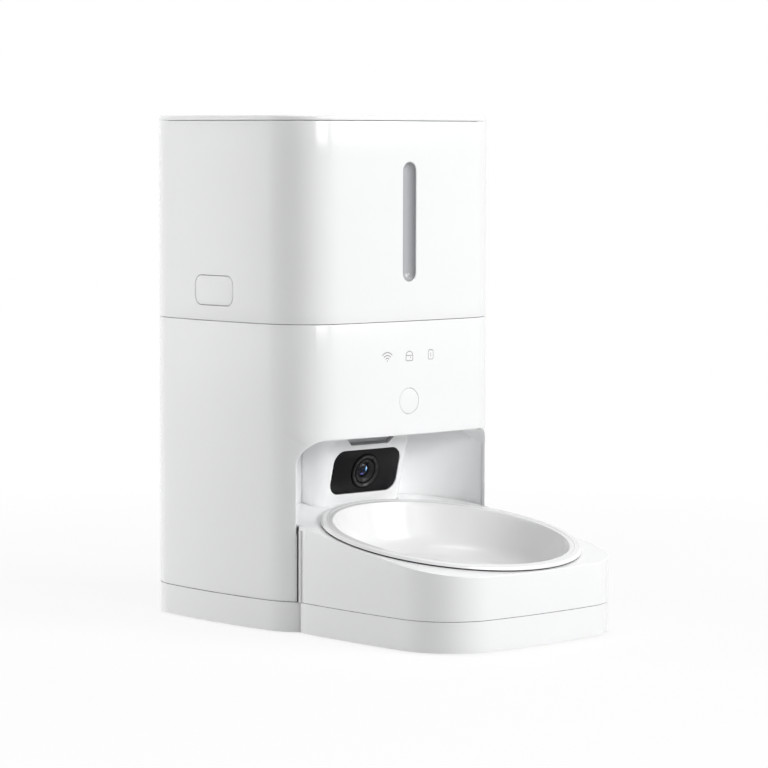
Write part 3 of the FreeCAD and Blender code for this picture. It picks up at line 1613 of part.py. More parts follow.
def make_battery_box():
    half, front, back = battery_span()
    low = CELL_FLOOR
    high = f"({low} + 2 * dims.cell_radius + 3)"
    block = box("battery_block", (f"-{half}", half), (front, back), (low, high))
    room = box(
        "battery_room", (
            f"-{half} + 2", f"{half} - 2"
        ), (f"{front} + 2", f"{back} - 2"), (f"{low} - 1", f"{high} - 2")
    )
    # Four posts on the box carry the main board
    posts = []
    for x in ("-40", "40"):
        for y in (f"{front} + 6", f"{front} + 46"):
            posts.append(
                cylinder(f"board_post_{len(posts)}", "3", f"{BOARD_Z} - {high} + 1", x, y, f"{high} - 1")
            )
    keep("battery_box", fuse("battery_box_solid", cut("battery_box_cut", block, room), *posts))
    cells = []
    for index in (-1, 0, 1):
        cell = cylinder(
            f"cell_{index + 1}",
            "dims.cell_radius",
            "dims.cell_length",
            x=f"{index} * (2 * dims.cell_radius + 0.4)",
            y=f"{front} + 3",
            z=f"{low} + dims.cell_radius + 0.5",
            way=BACKWARDS,
        )
        nipple = cylinder(
            f"cell_cap_{index + 1}",
            "4",
            "dims.cell_length + 0.5",
            x=f"{index} * (2 * dims.cell_radius + 0.4)",
            y=f"{front} + 3",
            z=f"{low} + dims.cell_radius + 0.5",
            way=BACKWARDS,
        )
        cells.append(fuse(f"cell_solid_{index + 1}", cell, nipple))
    keep("battery_cells", group("battery_cell_set", *cells))
    plates = []
    for index in (-1, 0, 1):
        x = f"{index} * (2 * dims.cell_radius + 0.4)"
        for y in (f"{front} + 2.1", f"{back} - 2.4"):
            plates.append(
                box(
                    f"contact_{len(plates)}",
                    (f"{x} - 6", f"{x} + 6"),
                    (y, f"{y} + 0.3"),
                    (f"{low} + dims.cell_radius - 6", f"{low} + dims.cell_radius + 6"),
                )
            )
    keep("battery_contacts", group("battery_contact_set", *plates))
    door = box(
        "door_plate",
        (f"-{half} + 1.5", f"{half} - 1.5"),
        (f"{front} + 1.5", f"{back} - 1.5"),
        ("dims.foot_proud + 0.1", "dims.foot_proud + dims.shell_wall"),
    )
    grip = cylinder("door_grip", "9", "1.2", y=f"{front} + 8", z="dims.foot_proud + 0.1")
    keep("battery_door", cut("battery_door_cut", door, grip))


# Tray, well and bowl


def deck_point(height):
    """A point on the bowl's axis, measured from the tray's sloping top."""
    return {
        "y": f"{TRAY_Y} - ({height}) * sin(dims.deck_tilt)",
        "z": f"dims.deck_height + ({height}) * cos(dims.deck_tilt)",
        "way": BOWL_AXIS,
    }


def above_deck(name, height):
    """Everything over a plane parallel to the tray's top."""
    return cylinder(name, "400", "150", **deck_point(height))


TRAY_FEET = [("-52", f"{TRAY_Y} - 52"), ("52", f"{TRAY_Y} - 52")]
TRAY_SCREWS = [
    ("-66.5", f"{TRAY_Y} - 66.5"),
    ("66.5", f"{TRAY_Y} - 66.5"),
    ("-(dims.tray_width / 2 - 6.6)", f"{TRAY_Y} + 30"),
    ("dims.tray_width / 2 - 6.6", f"{TRAY_Y} + 30"),
]


def make_tray_shell():
    tall = "90"

    def cleared(name, plan_inset, tower_outset, height, bottom="0"):
        block = extrude(
            f"{name}_block", [outline(TRAY_PLAN, plan_inset)], tall, y=TRAY_Y, z=f"{BODY_BOTTOM} - {bottom}"
        )
        tower = extrude(
            f"{name}_tower", [outline(TOWER_PLAN, f"-({tower_outset})")], "140", y=TOWER_Y, z="0"
        )
        return cut(name, block, tower, above_deck(f"{name}_sky", height))

    outer = cleared("tray_outer", "0", "dims.tray_gap", "0")
    # The tray is open towards the tower, where the well of the bowl reaches in
    inner = cleared("tray_inner", "dims.shell_wall", "dims.tray_gap - 4", "-dims.shell_wall", "1")
    # The sloping top runs on into the recess as far as its back wall
    bay = recess_room("tray_apron_bay", "-dims.apron_gap", TRAY_Y, "0", "20")
    low = above_deck("tray_apron_low", "-dims.shell_wall")
    high = above_deck("tray_apron_high", "0")
    apron = common("tray_apron", cut("tray_apron_slab", low, high), bay)
    # The camera's pod passes through a notch with its own outline
    notch_front = f"({CAMERA_Y} + ({CAMERA_Z} - {DECK_AT_FACE} - 7.5) * tan(dims.camera_tilt) - 0.4)"
    pod = extrude(
        "tray_pod_room",
        [
            rounded(
                "dims.pod_width + 0.8",
                f"2 * ({RECESS_BACK} + 12 - {notch_front})",
                "dims.pod_round + 0.4",
            )
        ],
        "90",
        y=f"{RECESS_BACK} + 12",
        z="30",
    )
    bosses = [
        cylinder(
            f"tray_boss_{index}", "4.6", "21", x, y, BODY_BOTTOM
        ) for index, (x, y) in enumerate(TRAY_SCREWS)
    ]
    skin = cut("tray_skin", outer, inner)
    solid = fuse("tray_with_apron", skin, apron, *bosses)
    trimmed = common(
        "tray_trimmed",
        solid,
        fuse(
            "tray_limits",
            extrude("tray_limit_front", [outline(TRAY_PLAN)], "120", y=TRAY_Y, z="0"),
            recess_room("tray_limit_bay", "-dims.apron_gap", TRAY_Y, "0", "20"),
        ),
    )
    collar = new_body("tray_collar")
    revolve(
        collar,
        "collar_ring",
        polygon(
            (f"{BOWL_HOLE} - 1", "-dims.shell_wall"),
            (f"{COLLAR} - 2", "-dims.shell_wall"),
            (COLLAR, "0"),
            (f"{COLLAR} - 2.4", "0.3"),
            ("dims.bowl_radius + 1.2", "1"),
            ("dims.bowl_radius + 0.3", "1"),
            ("dims.bowl_radius - 0.7", "0.3"),
            (f"{BOWL_HOLE} - 1", "0.3"),
        ),
    )
    turn(collar, *BOWL_AXIS)
    spot = deck_point("0")
    place(collar, y=spot["y"], z=spot["z"])
    ring = parts.pop("tray_collar")
    ring.Label = "tray_collar_ring"
    fitted = common(
        "tray_collar_fitted",
        ring,
        fuse(
            "collar_limits",
            extrude("collar_limit_front", [outline(TRAY_PLAN)], "120", y=TRAY_Y, z="0"),
            recess_room("collar_limit_bay", "-dims.apron_gap", TRAY_Y, "0", "20"),
        ),
    )
    whole = fuse("tray_with_collar", trimmed, fitted)
    hole = cylinder("tray_bowl_hole", BOWL_HOLE, "14", **deck_point("-4"))
    bores = [
        cylinder(f"tray_bore_{index}", "dims.screw_radius", "20", x, y, f"{BODY_BOTTOM} - 1")
        for index, (x, y) in enumerate(TRAY_SCREWS)
    ]
    keep("tray_shell", cut("tray_shell_cut", whole, hole, pod, *bores))


def make_tray_base():
    block, hollow = base_pan("tray_pan", TRAY_PLAN, TRAY_Y)
    tower = extrude("tray_pan_tower", [outline(TOWER_PLAN, "-dims.tray_gap")], "60", y=TOWER_Y, z="0")
    inner_tower = extrude(
        "tray_pan_inner", [
            outline(TOWER_PLAN, "-(dims.tray_gap + dims.shell_wall)")
        ], "60", y=TOWER_Y, z="-5"
    )
    columns = [
        cylinder(f"tray_column_{index}", "4.6", f"{BASE_TOP} - dims.foot_proud", x, y, "dims.foot_proud")
        for index, (x, y) in enumerate(TRAY_SCREWS)
    ]
    room = cut("tray_pan_room", hollow, inner_tower)
    pan = fuse("tray_pan_set", cut("tray_pan_open", block, room, tower), *columns)
    bores = []
    for index, (x, y) in enumerate(TRAY_SCREWS):
        bores.append(cylinder(f"tray_pan_bore_{index}", "dims.screw_radius + 0.2", "40", x, y, "0"))
        bores.append(cylinder(f"tray_pan_head_{index}", "dims.screw_head_radius + 0.3", "5", x, y, "0"))
    plate = bridge_room("tray_bridge_room", "0.2", "1.3")
    holes = bridge_bores("tray_bridge_bore", BRIDGE_TRAY)
    keep(
        "tray_base", cut("tray_base_cut", pan, plate, *bores, *holes, *foot_pockets("tray_foot", TRAY_FEET))
    )


def make_bowl_well():
    """A cup under the tray's hole that follows the bowl's outside, with a flange under the tray's top."""
    body = new_body("bowl_well")
    gap = "dims.fit_gap"
    top = f"-(dims.shell_wall + {gap})"
    floor = f"-(dims.bowl_depth + dims.bowl_wall + {gap})"
    corner_x, corner_z = BOWL_CORNER
    revolve(
        body,
        "well_cup",
        polygon(
            ("0", f"{floor} - 1.6"),
            (f"{BOWL_FLOOR} + 2.6", f"{floor} - 1.6"),
            (f"{corner_x} + 2.5", f"{corner_z} - 1"),
            (f"{BOWL_LIP} + 3.6", f"{top} - 1.6"),
            (f"{BOWL_HOLE} + 1.4", f"{top} - 1.6"),
            (f"{BOWL_HOLE} + 1.4", top),
            (f"{BOWL_LIP} + 1.9", top),
            (f"{corner_x} + 0.7", f"{corner_z} - 0.4"),
            (f"{BOWL_FLOOR} + 1.5", floor),
            ("0", floor),
        ),
    )
    turn(body, *BOWL_AXIS)
    spot = deck_point("0")
    place(body, y=spot["y"], z=spot["z"])


# The outside of the bowl where its floor turns up into its wall
BOWL_CORNER = (f"{BOWL_FLOOR} + 11 + dims.bowl_wall", "-dims.bowl_depth + 6")


def make_bowl():
    """A dished bowl with a double-beaded rim, turned about its own axis."""
    body = new_body("bowl")
    lip = BOWL_LIP
    depth = "-dims.bowl_depth"
    floor = BOWL_FLOOR
    revolve(
        body,
        "bowl_turned",
        polygon(
            ("0", depth),
            (floor, depth),
            (f"{floor} + 11", f"{depth} + 7"),
            (f"{lip} - 1.2", "0.6"),
            (lip, "dims.bowl_lip_height"),
            (f"{lip} + 2.4", "dims.bowl_lip_height"),
            (f"{lip} + 3.4", "dims.bowl_lip_height - 0.9"),
            ("dims.bowl_radius - 0.9", "dims.bowl_lip_height - 0.5"),
            ("dims.bowl_radius", "dims.bowl_lip_height - 1.4"),
            ("dims.bowl_radius - 0.9", "dims.bowl_lip_height - 2.4"),
            (f"{lip} + 1.6", "dims.bowl_lip_height - 2.4"),
            (f"{lip} + 0.8", "-1.6"),
            BOWL_CORNER,
            (f"{floor} + 1", f"{depth} - dims.bowl_wall"),
            ("0", f"{depth} - dims.bowl_wall"),
        ),
    )
    turn(body, *BOWL_AXIS)
    spot = deck_point("0")
    place(body, y=spot["y"], z=spot["z"])


def export_parts():
    """Writes each sub-part, once every object is sound."""
    doc.recompute()
    for item in doc.Objects:
        if "Invalid" in item.State or "Error" in item.State:
            raise ValueError(f"{item.Label} failed")
    for node, item in parts.items():
        shape = item.Shape
        if shape.isNull() or not shape.isValid() or not shape.Solids:
            raise ValueError(f"{node} is not a sound solid")
    os.makedirs("parts", exist_ok=True)
    for node, item in parts.items():
        item.Shape.exportStep(os.path.join("parts", f"{node}.step"))


make_lid()
make_lid_seal()
make_desiccant()
make_hopper_shell()
make_hopper_tank()
make_hopper_funnel()
make_food_shelf()
make_hopper_base()
make_window()
make_latch(-1)
make_latch(1)
make_outlet_seal()
make_body_shell()
make_recess_liner()
make_top_deck()
make_base_cover()
make_joining_plate()
make_screws()
make_feet()
make_rotor_housing()
make_rotor()
make_gears()
make_gear_cover()
make_motor()
make_chute()
make_camera_pod()
make_camera()
make_button()
make_front_board()
make_main_board()
make_speaker()
make_power_inlet()
make_battery_box()
make_tray_shell()
make_tray_base()
make_bowl_well()
make_bowl()
export_parts()
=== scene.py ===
"""Looks of an automatic pet feeder with a camera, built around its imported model.

Shapes are worked out in millimetres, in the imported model's frame, and made metres at the end.
"""

import json
import math

import bmesh
import bpy
import numpy as np
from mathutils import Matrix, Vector

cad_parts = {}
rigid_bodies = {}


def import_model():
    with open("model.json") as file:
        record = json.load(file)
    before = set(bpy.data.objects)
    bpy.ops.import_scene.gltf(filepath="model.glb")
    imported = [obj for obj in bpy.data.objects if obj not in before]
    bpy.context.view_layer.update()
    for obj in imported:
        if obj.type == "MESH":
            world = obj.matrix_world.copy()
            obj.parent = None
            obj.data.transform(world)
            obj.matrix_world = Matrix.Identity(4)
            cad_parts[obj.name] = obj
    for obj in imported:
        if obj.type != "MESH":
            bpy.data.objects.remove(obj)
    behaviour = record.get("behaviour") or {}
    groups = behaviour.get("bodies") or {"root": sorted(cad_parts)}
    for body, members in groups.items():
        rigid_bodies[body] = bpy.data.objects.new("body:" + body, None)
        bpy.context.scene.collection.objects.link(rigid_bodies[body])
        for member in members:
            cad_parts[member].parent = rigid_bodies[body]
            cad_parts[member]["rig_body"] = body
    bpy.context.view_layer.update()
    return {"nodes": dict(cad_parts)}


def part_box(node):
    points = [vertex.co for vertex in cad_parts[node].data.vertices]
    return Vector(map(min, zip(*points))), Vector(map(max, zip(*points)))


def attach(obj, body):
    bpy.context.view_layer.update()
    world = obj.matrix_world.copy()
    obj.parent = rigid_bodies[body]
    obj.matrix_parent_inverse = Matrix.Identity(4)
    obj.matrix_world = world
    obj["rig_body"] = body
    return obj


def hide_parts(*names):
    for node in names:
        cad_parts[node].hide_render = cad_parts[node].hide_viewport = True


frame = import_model()

# Camera. The photograph was taken with a long lens, from in front of the feeder's left corner
# and about as high as its lid.
EYE = Vector((-1.38073, -1.50086, 0.30835))
LOOKED_AT = Vector((0.02919, 0.03358, 0.14764))
FOCAL_PIXELS = 3216.352
PHOTO_WIDTH = 768

camera_data = bpy.data.cameras.new("camera")
camera_data.sensor_width = 36.0
camera_data.lens = camera_data.sensor_width * FOCAL_PIXELS / PHOTO_WIDTH
camera_data.clip_start = 0.05
camera_data.clip_end = 100
camera = bpy.data.objects.new("camera", camera_data)
camera.location = EYE
camera.rotation_euler = (LOOKED_AT - EYE).to_track_quat("-Z", "Y").to_euler()
camera.rotation_euler.rotate_axis("Z", math.radians(0.1457))
bpy.context.scene.collection.objects.link(camera)
bpy.context.scene.camera = camera
bpy.context.scene.view_settings.view_transform = "Standard"


# Floor, backdrop and lights. The feeder stands on a plain white sweep. Two soft boxes behind its
# left side leave no mirror image in the gloss; a strong one stands in front on its right, a
# smaller one in front on its left, and a wide one hangs above.
class Shade:
    """An output of a node tree. Maths written on it adds the Math nodes that work it out."""

    def __init__(self, tree, socket=None):
        self.tree = tree
        self.socket = socket

    def node(self, kind, settings=None, sockets=None, output=0):
        """Adds a node, sets it up, fills its sockets with values or links, and wraps an output."""
        added = self.tree.nodes.new("ShaderNode" + kind)
        for name, value in (settings or {}).items():
            if name == "stops":
                ramp = added.color_ramp.elements
                while len(ramp) < len(value):
                    ramp.new(0.5)
                for stop, (place, colour) in zip(ramp, value):
                    stop.position = place
                    stop.color = colour
            else:
                setattr(added, name, value)
        for name, value in (sockets or {}).items():
            if isinstance(value, Shade):
                self.tree.links.new(value.socket, added.inputs[name])
            else:
                added.inputs[name].default_value = value
        return Shade(self.tree, added.outputs[output] if added.outputs else None)

    def maths(self, operation, *values):
        return self.node("Math", {"operation": operation}, dict(enumerate(values)))

    def __add__(self, other):
        return self.maths("ADD", self, other)

    def __radd__(self, other):
        return self.maths("ADD", other, self)

    def __sub__(self, other):
        return self.maths("SUBTRACT", self, other)

    def __rsub__(self, other):
        return self.maths("SUBTRACT", other, self)

    def __mul__(self, other):
        return self.maths("MULTIPLY", self, other)

    def __rmul__(self, other):
        return self.maths("MULTIPLY", other, self)


def new_tree(holder):
    """The emptied node tree of a material or world, wrapped."""
    holder.use_nodes = True
    holder.node_tree.nodes.clear()
    return Shade(holder.node_tree)


def add_lamp(name, place, aim, width, height, watts, mirrored=True):
    lamp = bpy.data.lights.new(name, "AREA")
    lamp.shape = "RECTANGLE"
    lamp.size = width
    lamp.size_y = height
    lamp.energy = watts
    held = bpy.data.objects.new(name, lamp)
    held.location = place
    held.rotation_euler = (Vector(aim) - Vector(place)).to_track_quat("-Z", "Y").to_euler()
    held.visible_glossy = mirrored
    bpy.context.scene.collection.objects.link(held)


add_lamp("left_box", (-1.5, 1.5, 0.3), (0, 0.05, 0.15), 1.2, 0.8, 17.2, mirrored=False)
add_lamp("near_left_box", (-1.0, 1.2, 0.25), (-0.09, 0.05, 0.15), 0.6, 0.6, 8.4, mirrored=False)
add_lamp("right_box", (1.1, -2.1, 1.25), (0, 0, 0.15), 1.4, 1.4, 39)
add_lamp("front_box", (-0.4, -2.4, 0.9), (0, 0, 0.2), 1.0, 0.6, 21)
add_lamp("top_box", (0, 0.1, 2.2), (0, 0, 0.15), 1.2, 1.2, 20)


def seen_directly(tree):
    """1 for rays that show the backdrop itself: from the camera, in gloss and through glass."""
    in_view = tree.node("LightPath", output="Is Camera Ray")
    through_glass = tree.node("LightPath", output="Is Transmission Ray")
    in_gloss = tree.node("LightPath", output="Is Glossy Ray")
    return in_view.maths("MAXIMUM", in_view, tree.maths("MAXIMUM", through_glass, in_gloss))


world = bpy.data.worlds.new("studio")
bpy.context.scene.world = world
studio = new_tree(world)
room_light = studio.node("Background", sockets={"Color": (1, 1, 1, 1), "Strength": 0.02})
white_wall = studio.node("Background", sockets={"Color": (1, 1, 1, 1), "Strength": 1.0})
studio.node(
    "OutputWorld",
    sockets={
        "Surface": studio.node(
            "MixShader", sockets={0: seen_directly(studio), 1: room_light, 2: white_wall}
        )
    },
)

# The sweep glows white by itself, and only close to the feeder does the light on it show too,
# so that the feeder's shadow lies on it and its far edge melts into the backdrop.
FLOOR_HALF = 30.0
SHADOW_SHARE = 0.16
floor_mesh = bpy.data.meshes.new("floor")
floor_corners = [(x * FLOOR_HALF, y * FLOOR_HALF, 0) for x, y in ((-1, -1), (1, -1), (1, 1), (-1, 1))]
floor_mesh.from_pydata(floor_corners, [], [(0, 1, 2, 3)])
floor = bpy.data.objects.new("floor", floor_mesh)
bpy.context.scene.collection.objects.link(floor)
sweep = bpy.data.materials.new("white_sweep")
paper = new_tree(sweep)
lit_paper = paper.node("BsdfPrincipled", sockets={"Base Color": (0.5, 0.5, 0.5, 1), "Roughness": 0.9})
seen_paper = paper.node("BsdfPrincipled", sockets={"Base Color": (0.95, 0.95, 0.95, 1), "Roughness": 0.9})
white_paper = paper.node("Emission", sockets={"Color": (1, 1, 1, 1), "Strength": 1.0})
away = paper.node(
    "VectorMath", {"operation": "LENGTH"}, {0: paper.node("TexCoord", output="Object")}, output="Value"
)
near = paper.node("MapRange", sockets={"Value": away, 1: 0.25, 2: 0.8, 3: SHADOW_SHARE, 4: 0.0})
shown = paper.node("MixShader", sockets={0: near, 1: white_paper, 2: seen_paper})
paper.node(
    "OutputMaterial",
    sockets={"Surface": paper.node("MixShader", sockets={0: seen_directly(paper), 1: lit_paper, 2: shown})},
)
floor_mesh.materials.append(sweep)


# Tower casing. One deep tube moulded in glossy white plastic, with the arch of the bowl's recess
# cut out of its face; it drops onto the foot and is held by four screws from below.
class Outline:
    """The tower or the tray seen from above: eight arcs, each running smoothly into the next.

    A point is found by the direction of its outward normal: it is the centre of the arc that has
    that normal, moved along the normal by the arc's radius less the inset.
    """

    def __init__(self, half_x, half_y, side, face, corner, middle):
        self.middle = middle
        self.radii = np.array([side, corner, face])
        side_x, face_y = half_x - side, half_y - face
        x, y = half_x - corner, half_y - corner
        for _ in range(40):
            x = side_x + math.sqrt((side - corner) ** 2 - y * y)
            y = face_y + math.sqrt((face - corner) ** 2 - x * x)
        self.centres = np.array([(side_x, 0.0), (x, y), (0.0, face_y)])
        self.breaks = np.array([math.atan2(y, x - side_x), math.atan2(y - face_y, x)])

    def at(self, angle, inset=0.0):
        """Points in plan for normals at these angles, anticlockwise from +X."""
        across, along = np.cos(angle), np.sin(angle)
        fold = np.arctan2(np.abs(along), np.abs(across))
        arc = np.searchsorted(self.breaks, fold)
        reach = self.radii[arc] - inset
        x = np.sign(across) * self.centres[arc, 0] + reach * across
        y = np.sign(along) * self.centres[arc, 1] + reach * along
        return x, y + self.middle

    def angle_at(self, wall, place, inset=0.0):
        """The normal's angle where a wall passes a place: x on front and back, y on the sides."""
        place = np.asarray(place, float)
        if wall in ("front", "back"):
            reach = self.radii[2] - inset
            on_arc = np.abs(place) / reach
            past_arc = (np.abs(place) - self.centres[1, 0]) / (self.radii[1] - inset)
            share = np.where(np.abs(place) <= reach * math.cos(self.breaks[1]), on_arc, past_arc)
            fold = np.arccos(np.clip(share, -1, 1))
            angle = np.where(place >= 0, fold, math.pi - fold)
            return angle if wall == "back" else -angle
        along = place - self.middle
        reach = self.radii[0] - inset
        on_arc = np.abs(along) / reach
        past_arc = (np.abs(along) - self.centres[1, 1]) / (self.radii[1] - inset)
        share = np.where(np.abs(along) <= reach * math.sin(self.breaks[0]), on_arc, past_arc)
        fold = np.arcsin(np.clip(share, -1, 1)) * np.sign(along)
        return fold if wall == "right" else -math.pi - fold

    def angles(self, corner_steps=18):
        """Normals' angles once round from the corner at the back left, closest in the corners."""
        low, high = self.breaks
        quarter = np.concatenate(
            [
                np.linspace(0, low, 5)[:-1],
                np.linspace(low, high, corner_steps + 1)[:-1],
                np.linspace(high, math.pi / 2, 6),
            ]
        )
        half = np.concatenate([quarter, math.pi - quarter[-2::-1]])
        around = np.concatenate([half[:-1], half[:-1] + math.pi])
        return np.sort(np.where(around > BACK_LEFT, around - 2 * math.pi, around))


BACK_LEFT = 0.75 * math.pi


class Skin:
    """Tables of points, and the quads between them."""

    def __init__(self):
        self.points = []
        self.quads = []
        self.count = 0

    def add(self, points):
        """Takes an array of points and gives back their numbers."""
        points = np.asarray(points, float)
        numbers = self.count + np.arange(points[..., 0].size).reshape(points.shape[:-1])
        self.points.append(points.reshape(-1, 3))
        self.count += numbers.size
        return numbers

    def web(self, numbers, keep=None, around=True):
        """Quads between neighbours. Seen from outside, columns run right and rows run upwards."""
        if around:
            numbers = np.concatenate([numbers, numbers[:, :1]], axis=1)
        quads = np.stack([numbers[:-1, :-1], numbers[:-1, 1:], numbers[1:, 1:], numbers[1:, :-1]], -1)
        self.quads.append(quads.reshape(-1, 4) if keep is None else quads[keep])

    def wrap(self, *rings, closed=True):
        """Carries a skin over rings of as many points each, and back to the first."""
        numbers = self.add(np.stack([np.stack(np.broadcast_arrays(*ring), -1) for ring in rings]))
        self.web(np.concatenate([numbers, numbers[:1]]) if closed else numbers)

    def mesh(self, name):
        """The mesh in metres; the doubled points of seams and poles stay, and add_piece merges them."""
        made = bpy.data.meshes.new(name)
        points = np.concatenate(self.points) * 0.001
        made.from_pydata(points.tolist(), [], np.concatenate(self.quads).tolist())
        return made


def add_piece(name, mesh, body, material, nodes=(), sharp=35.0):
    """Merges doubled points, smooths all but sharp edges, hangs the piece on its body, hides its nodes."""
    shape = bmesh.new()
    shape.from_mesh(mesh)
    bmesh.ops.remove_doubles(shape, verts=shape.verts, dist=2e-6)
    bmesh.ops.dissolve_degenerate(shape, edges=shape.edges, dist=1e-6)
    bmesh.ops.delete(shape, geom=[edge for edge in shape.edges if edge.is_wire], context="EDGES")
    shape.to_mesh(mesh)
    shape.free()
    mesh.shade_smooth()
    mesh.set_sharp_from_angle(angle=math.radians(sharp))
    mesh.materials.clear()
    mesh.materials.append(material)
    piece = bpy.data.objects.new(name, mesh)
    bpy.context.scene.collection.objects.link(piece)
    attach(piece, body)
    if nodes:
        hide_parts(*nodes)
    return piece


class Opening:
    """A rounded rectangle cut straight through one wall, with its outer edge rounded over."""

    def __init__(
        self, wall, place, level, half_wide, half_high, corner, foot, edge, margin, steps=5, narrow=None
    ):
        self.wall = wall
        self.middle = np.array([place, level])
        self.half = np.array([half_wide, half_high])
        self.corner = corner
        self.foot = foot
        self.edge = edge
        self.margin = margin
        self.narrow = narrow
        self.turns = np.tan(np.linspace(0, math.pi / 4, steps + 1))

    def lines(self, axis):
        """Where the wall's grid needs lines, so that the corners' arcs get evenly spaced points."""
        reach = []
        for corner in {self.corner, self.foot}:
            reach.append(self.half[axis] - corner + (corner + self.margin) * self.turns)
        reach = np.concatenate(reach)
        return self.middle[axis] + np.concatenate([-reach, reach])

    def ring(self, around, grow, depth):
        """The outline grown by some distance: each given point moves towards the nearest point of
        the outline's core rectangle until it is the corner's radius plus that distance from it.
        Below the level where an opening narrows, its sides are drawn in and its edge is sharp."""
        offset = around - self.middle
        corner = np.where(offset[:, 1:] > 0, self.corner, self.foot)
        core = np.clip(offset, corner - self.half, self.half - corner)
        out = offset - core
        out /= np.linalg.norm(out, axis=1, keepdims=True)
        place, level = (self.middle + core + (corner + grow) * out).T
        if self.narrow and grow <= self.edge:
            low = level < self.narrow[0]
            reach = self.half[0] - self.narrow[1]
            place = np.where(low, np.clip(place, self.middle[0] - reach, self.middle[0] + reach), place)
            depth = np.where(low, 0, depth)
        return place, level, depth


INWARD = {"front": (0, 1), "back": (0, -1), "left": (1, 0), "right": (-1, 0)}


def cut_cells(keep, last, foot, top, left, right):
    """Drops a rectangle of cells from both faces of a wall whose grid runs over its near face and
    back over its far one, and gives the rectangle's border on the one and on the other."""
    keep[foot:top, left:right] = False
    keep[last - top : last - foot, left:right] = False
    up, across = np.arange(foot, top + 1), np.arange(left, right + 1)
    row = np.concatenate([foot + 0 * across, up[1:], (top + 0 * across)[1:], up[-2:0:-1]])
    column = np.concatenate([across, right + 0 * up[1:], across[-2::-1], left + 0 * up[-2:0:-1]])
    return (row, column), (last - row, column)


def casing(outline, low, high, wall, edge, openings, rim=None):
    """A wall of even thickness that follows an outline, with rounded rims and openings.

    The grid's columns are the normals' angles and its rows go up the outside, over the rim, down
    the inside and back. An opening drops the cells inside a rectangle of the grid, and rings lead
    from that rectangle to the opening's edge, over it and through the wall.
    """
    skin = Skin()
    turn = np.linspace(0, math.pi / 2, 4)
    columns = [outline.angles()] + [outline.angle_at(hole.wall, hole.lines(0)) for hole in openings]
    columns = np.unique(np.round(np.concatenate(columns), 7))
    levels = [[low + edge, high - edge]] + [hole.lines(1) for hole in openings]
    levels = np.unique(np.round(np.concatenate(levels), 5))
    rows, ones = len(levels), np.ones(len(levels))
    rounding = edge * (1 - np.cos(turn))
    drop = edge * (1 - np.sin(turn))
    heights = np.concatenate([low + drop[:0:-1], levels, high - drop[1:], [high], levels[::-1], [low]])
    insets = np.concatenate([rounding[:0:-1], 0 * ones, rounding[1:], [wall], wall * ones, [wall]])
    x, y = outline.at(columns[None, :], insets[:, None])
    z = np.broadcast_to(heights[:, None], x.shape)
    if rim:
        z = rim(x, y, z)
    numbers = skin.add(np.stack([x, y, z], -1))
    keep = np.ones(numbers.shape, bool)
    first, last = len(turn) - 1, 2 * len(turn) - 2 + 2 * rows
    for hole in openings:
        ends = np.sort(np.searchsorted(levels, np.round(np.sort(hole.lines(1))[[0, -1]], 5)))
        sides = outline.angle_at(hole.wall, np.sort(hole.lines(0))[[0, -1]])
        left, right = np.sort(np.searchsorted(columns, np.round(sides, 7)))
        foot, top = ends
        outer, inner = cut_cells(keep, last + first, first + foot, first + top, left, right)
        along = x if hole.wall in ("front", "back") else y
        around = np.stack([along[outer], heights[outer[0]]], -1)
        rings = [numbers[outer]]
        steps = [(hole.margin * 0.5, 0, 0)]
        steps += [(hole.edge * (1 - math.sin(t)), hole.edge * (1 - math.cos(t)), 0) for t in turn]
        steps += [(0, 0, wall)]
        for grow, depth, inset in steps:
            place, level, depth = hole.ring(around, grow, depth)
            ring_x, ring_y = outline.at(outline.angle_at(hole.wall, place, inset), inset)
            way_x, way_y = INWARD[hole.wall]
            rings.append(skin.add(np.stack([ring_x + depth * way_x, ring_y + depth * way_y, level], -1)))
        skin.web(np.stack(rings + [numbers[inner]]))
    skin.web(np.concatenate([numbers, numbers[:1]]), keep)
    return skin


def box_in_mm(node):
    low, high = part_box(node)
    return np.array(low) * 1000, np.array(high) * 1000


SHELL_WALL = 2.5
SHELL_EDGE = 0.3
BODY_LOW, BODY_HIGH = box_in_mm("body_shell")
TOWER = Outline(
    half_x=BODY_HIGH[0],
    half_y=(BODY_HIGH[1] - BODY_LOW[1]) / 2,
    side=471.0,
    face=799.0,
    corner=35.4,
    middle=(BODY_HIGH[1] + BODY_LOW[1]) / 2,
)
ARCH_HALF = 81.3
ARCH_LOW_HALF = 80.5
ARCH_STEP = 63.0
ARCH_TOP = 120.1
ARCH_SILL = 28.075
ARCH_CORNER = 16.0
BUTTON_LEVEL = 141.6
BUTTON_HOLE = 8.35
INLET_PLACE = (45.0, 60.0)
SOUND_PITCH = 5.0
SOUND_MIDDLE = 92.0
SOUND_FIELD = 15.5


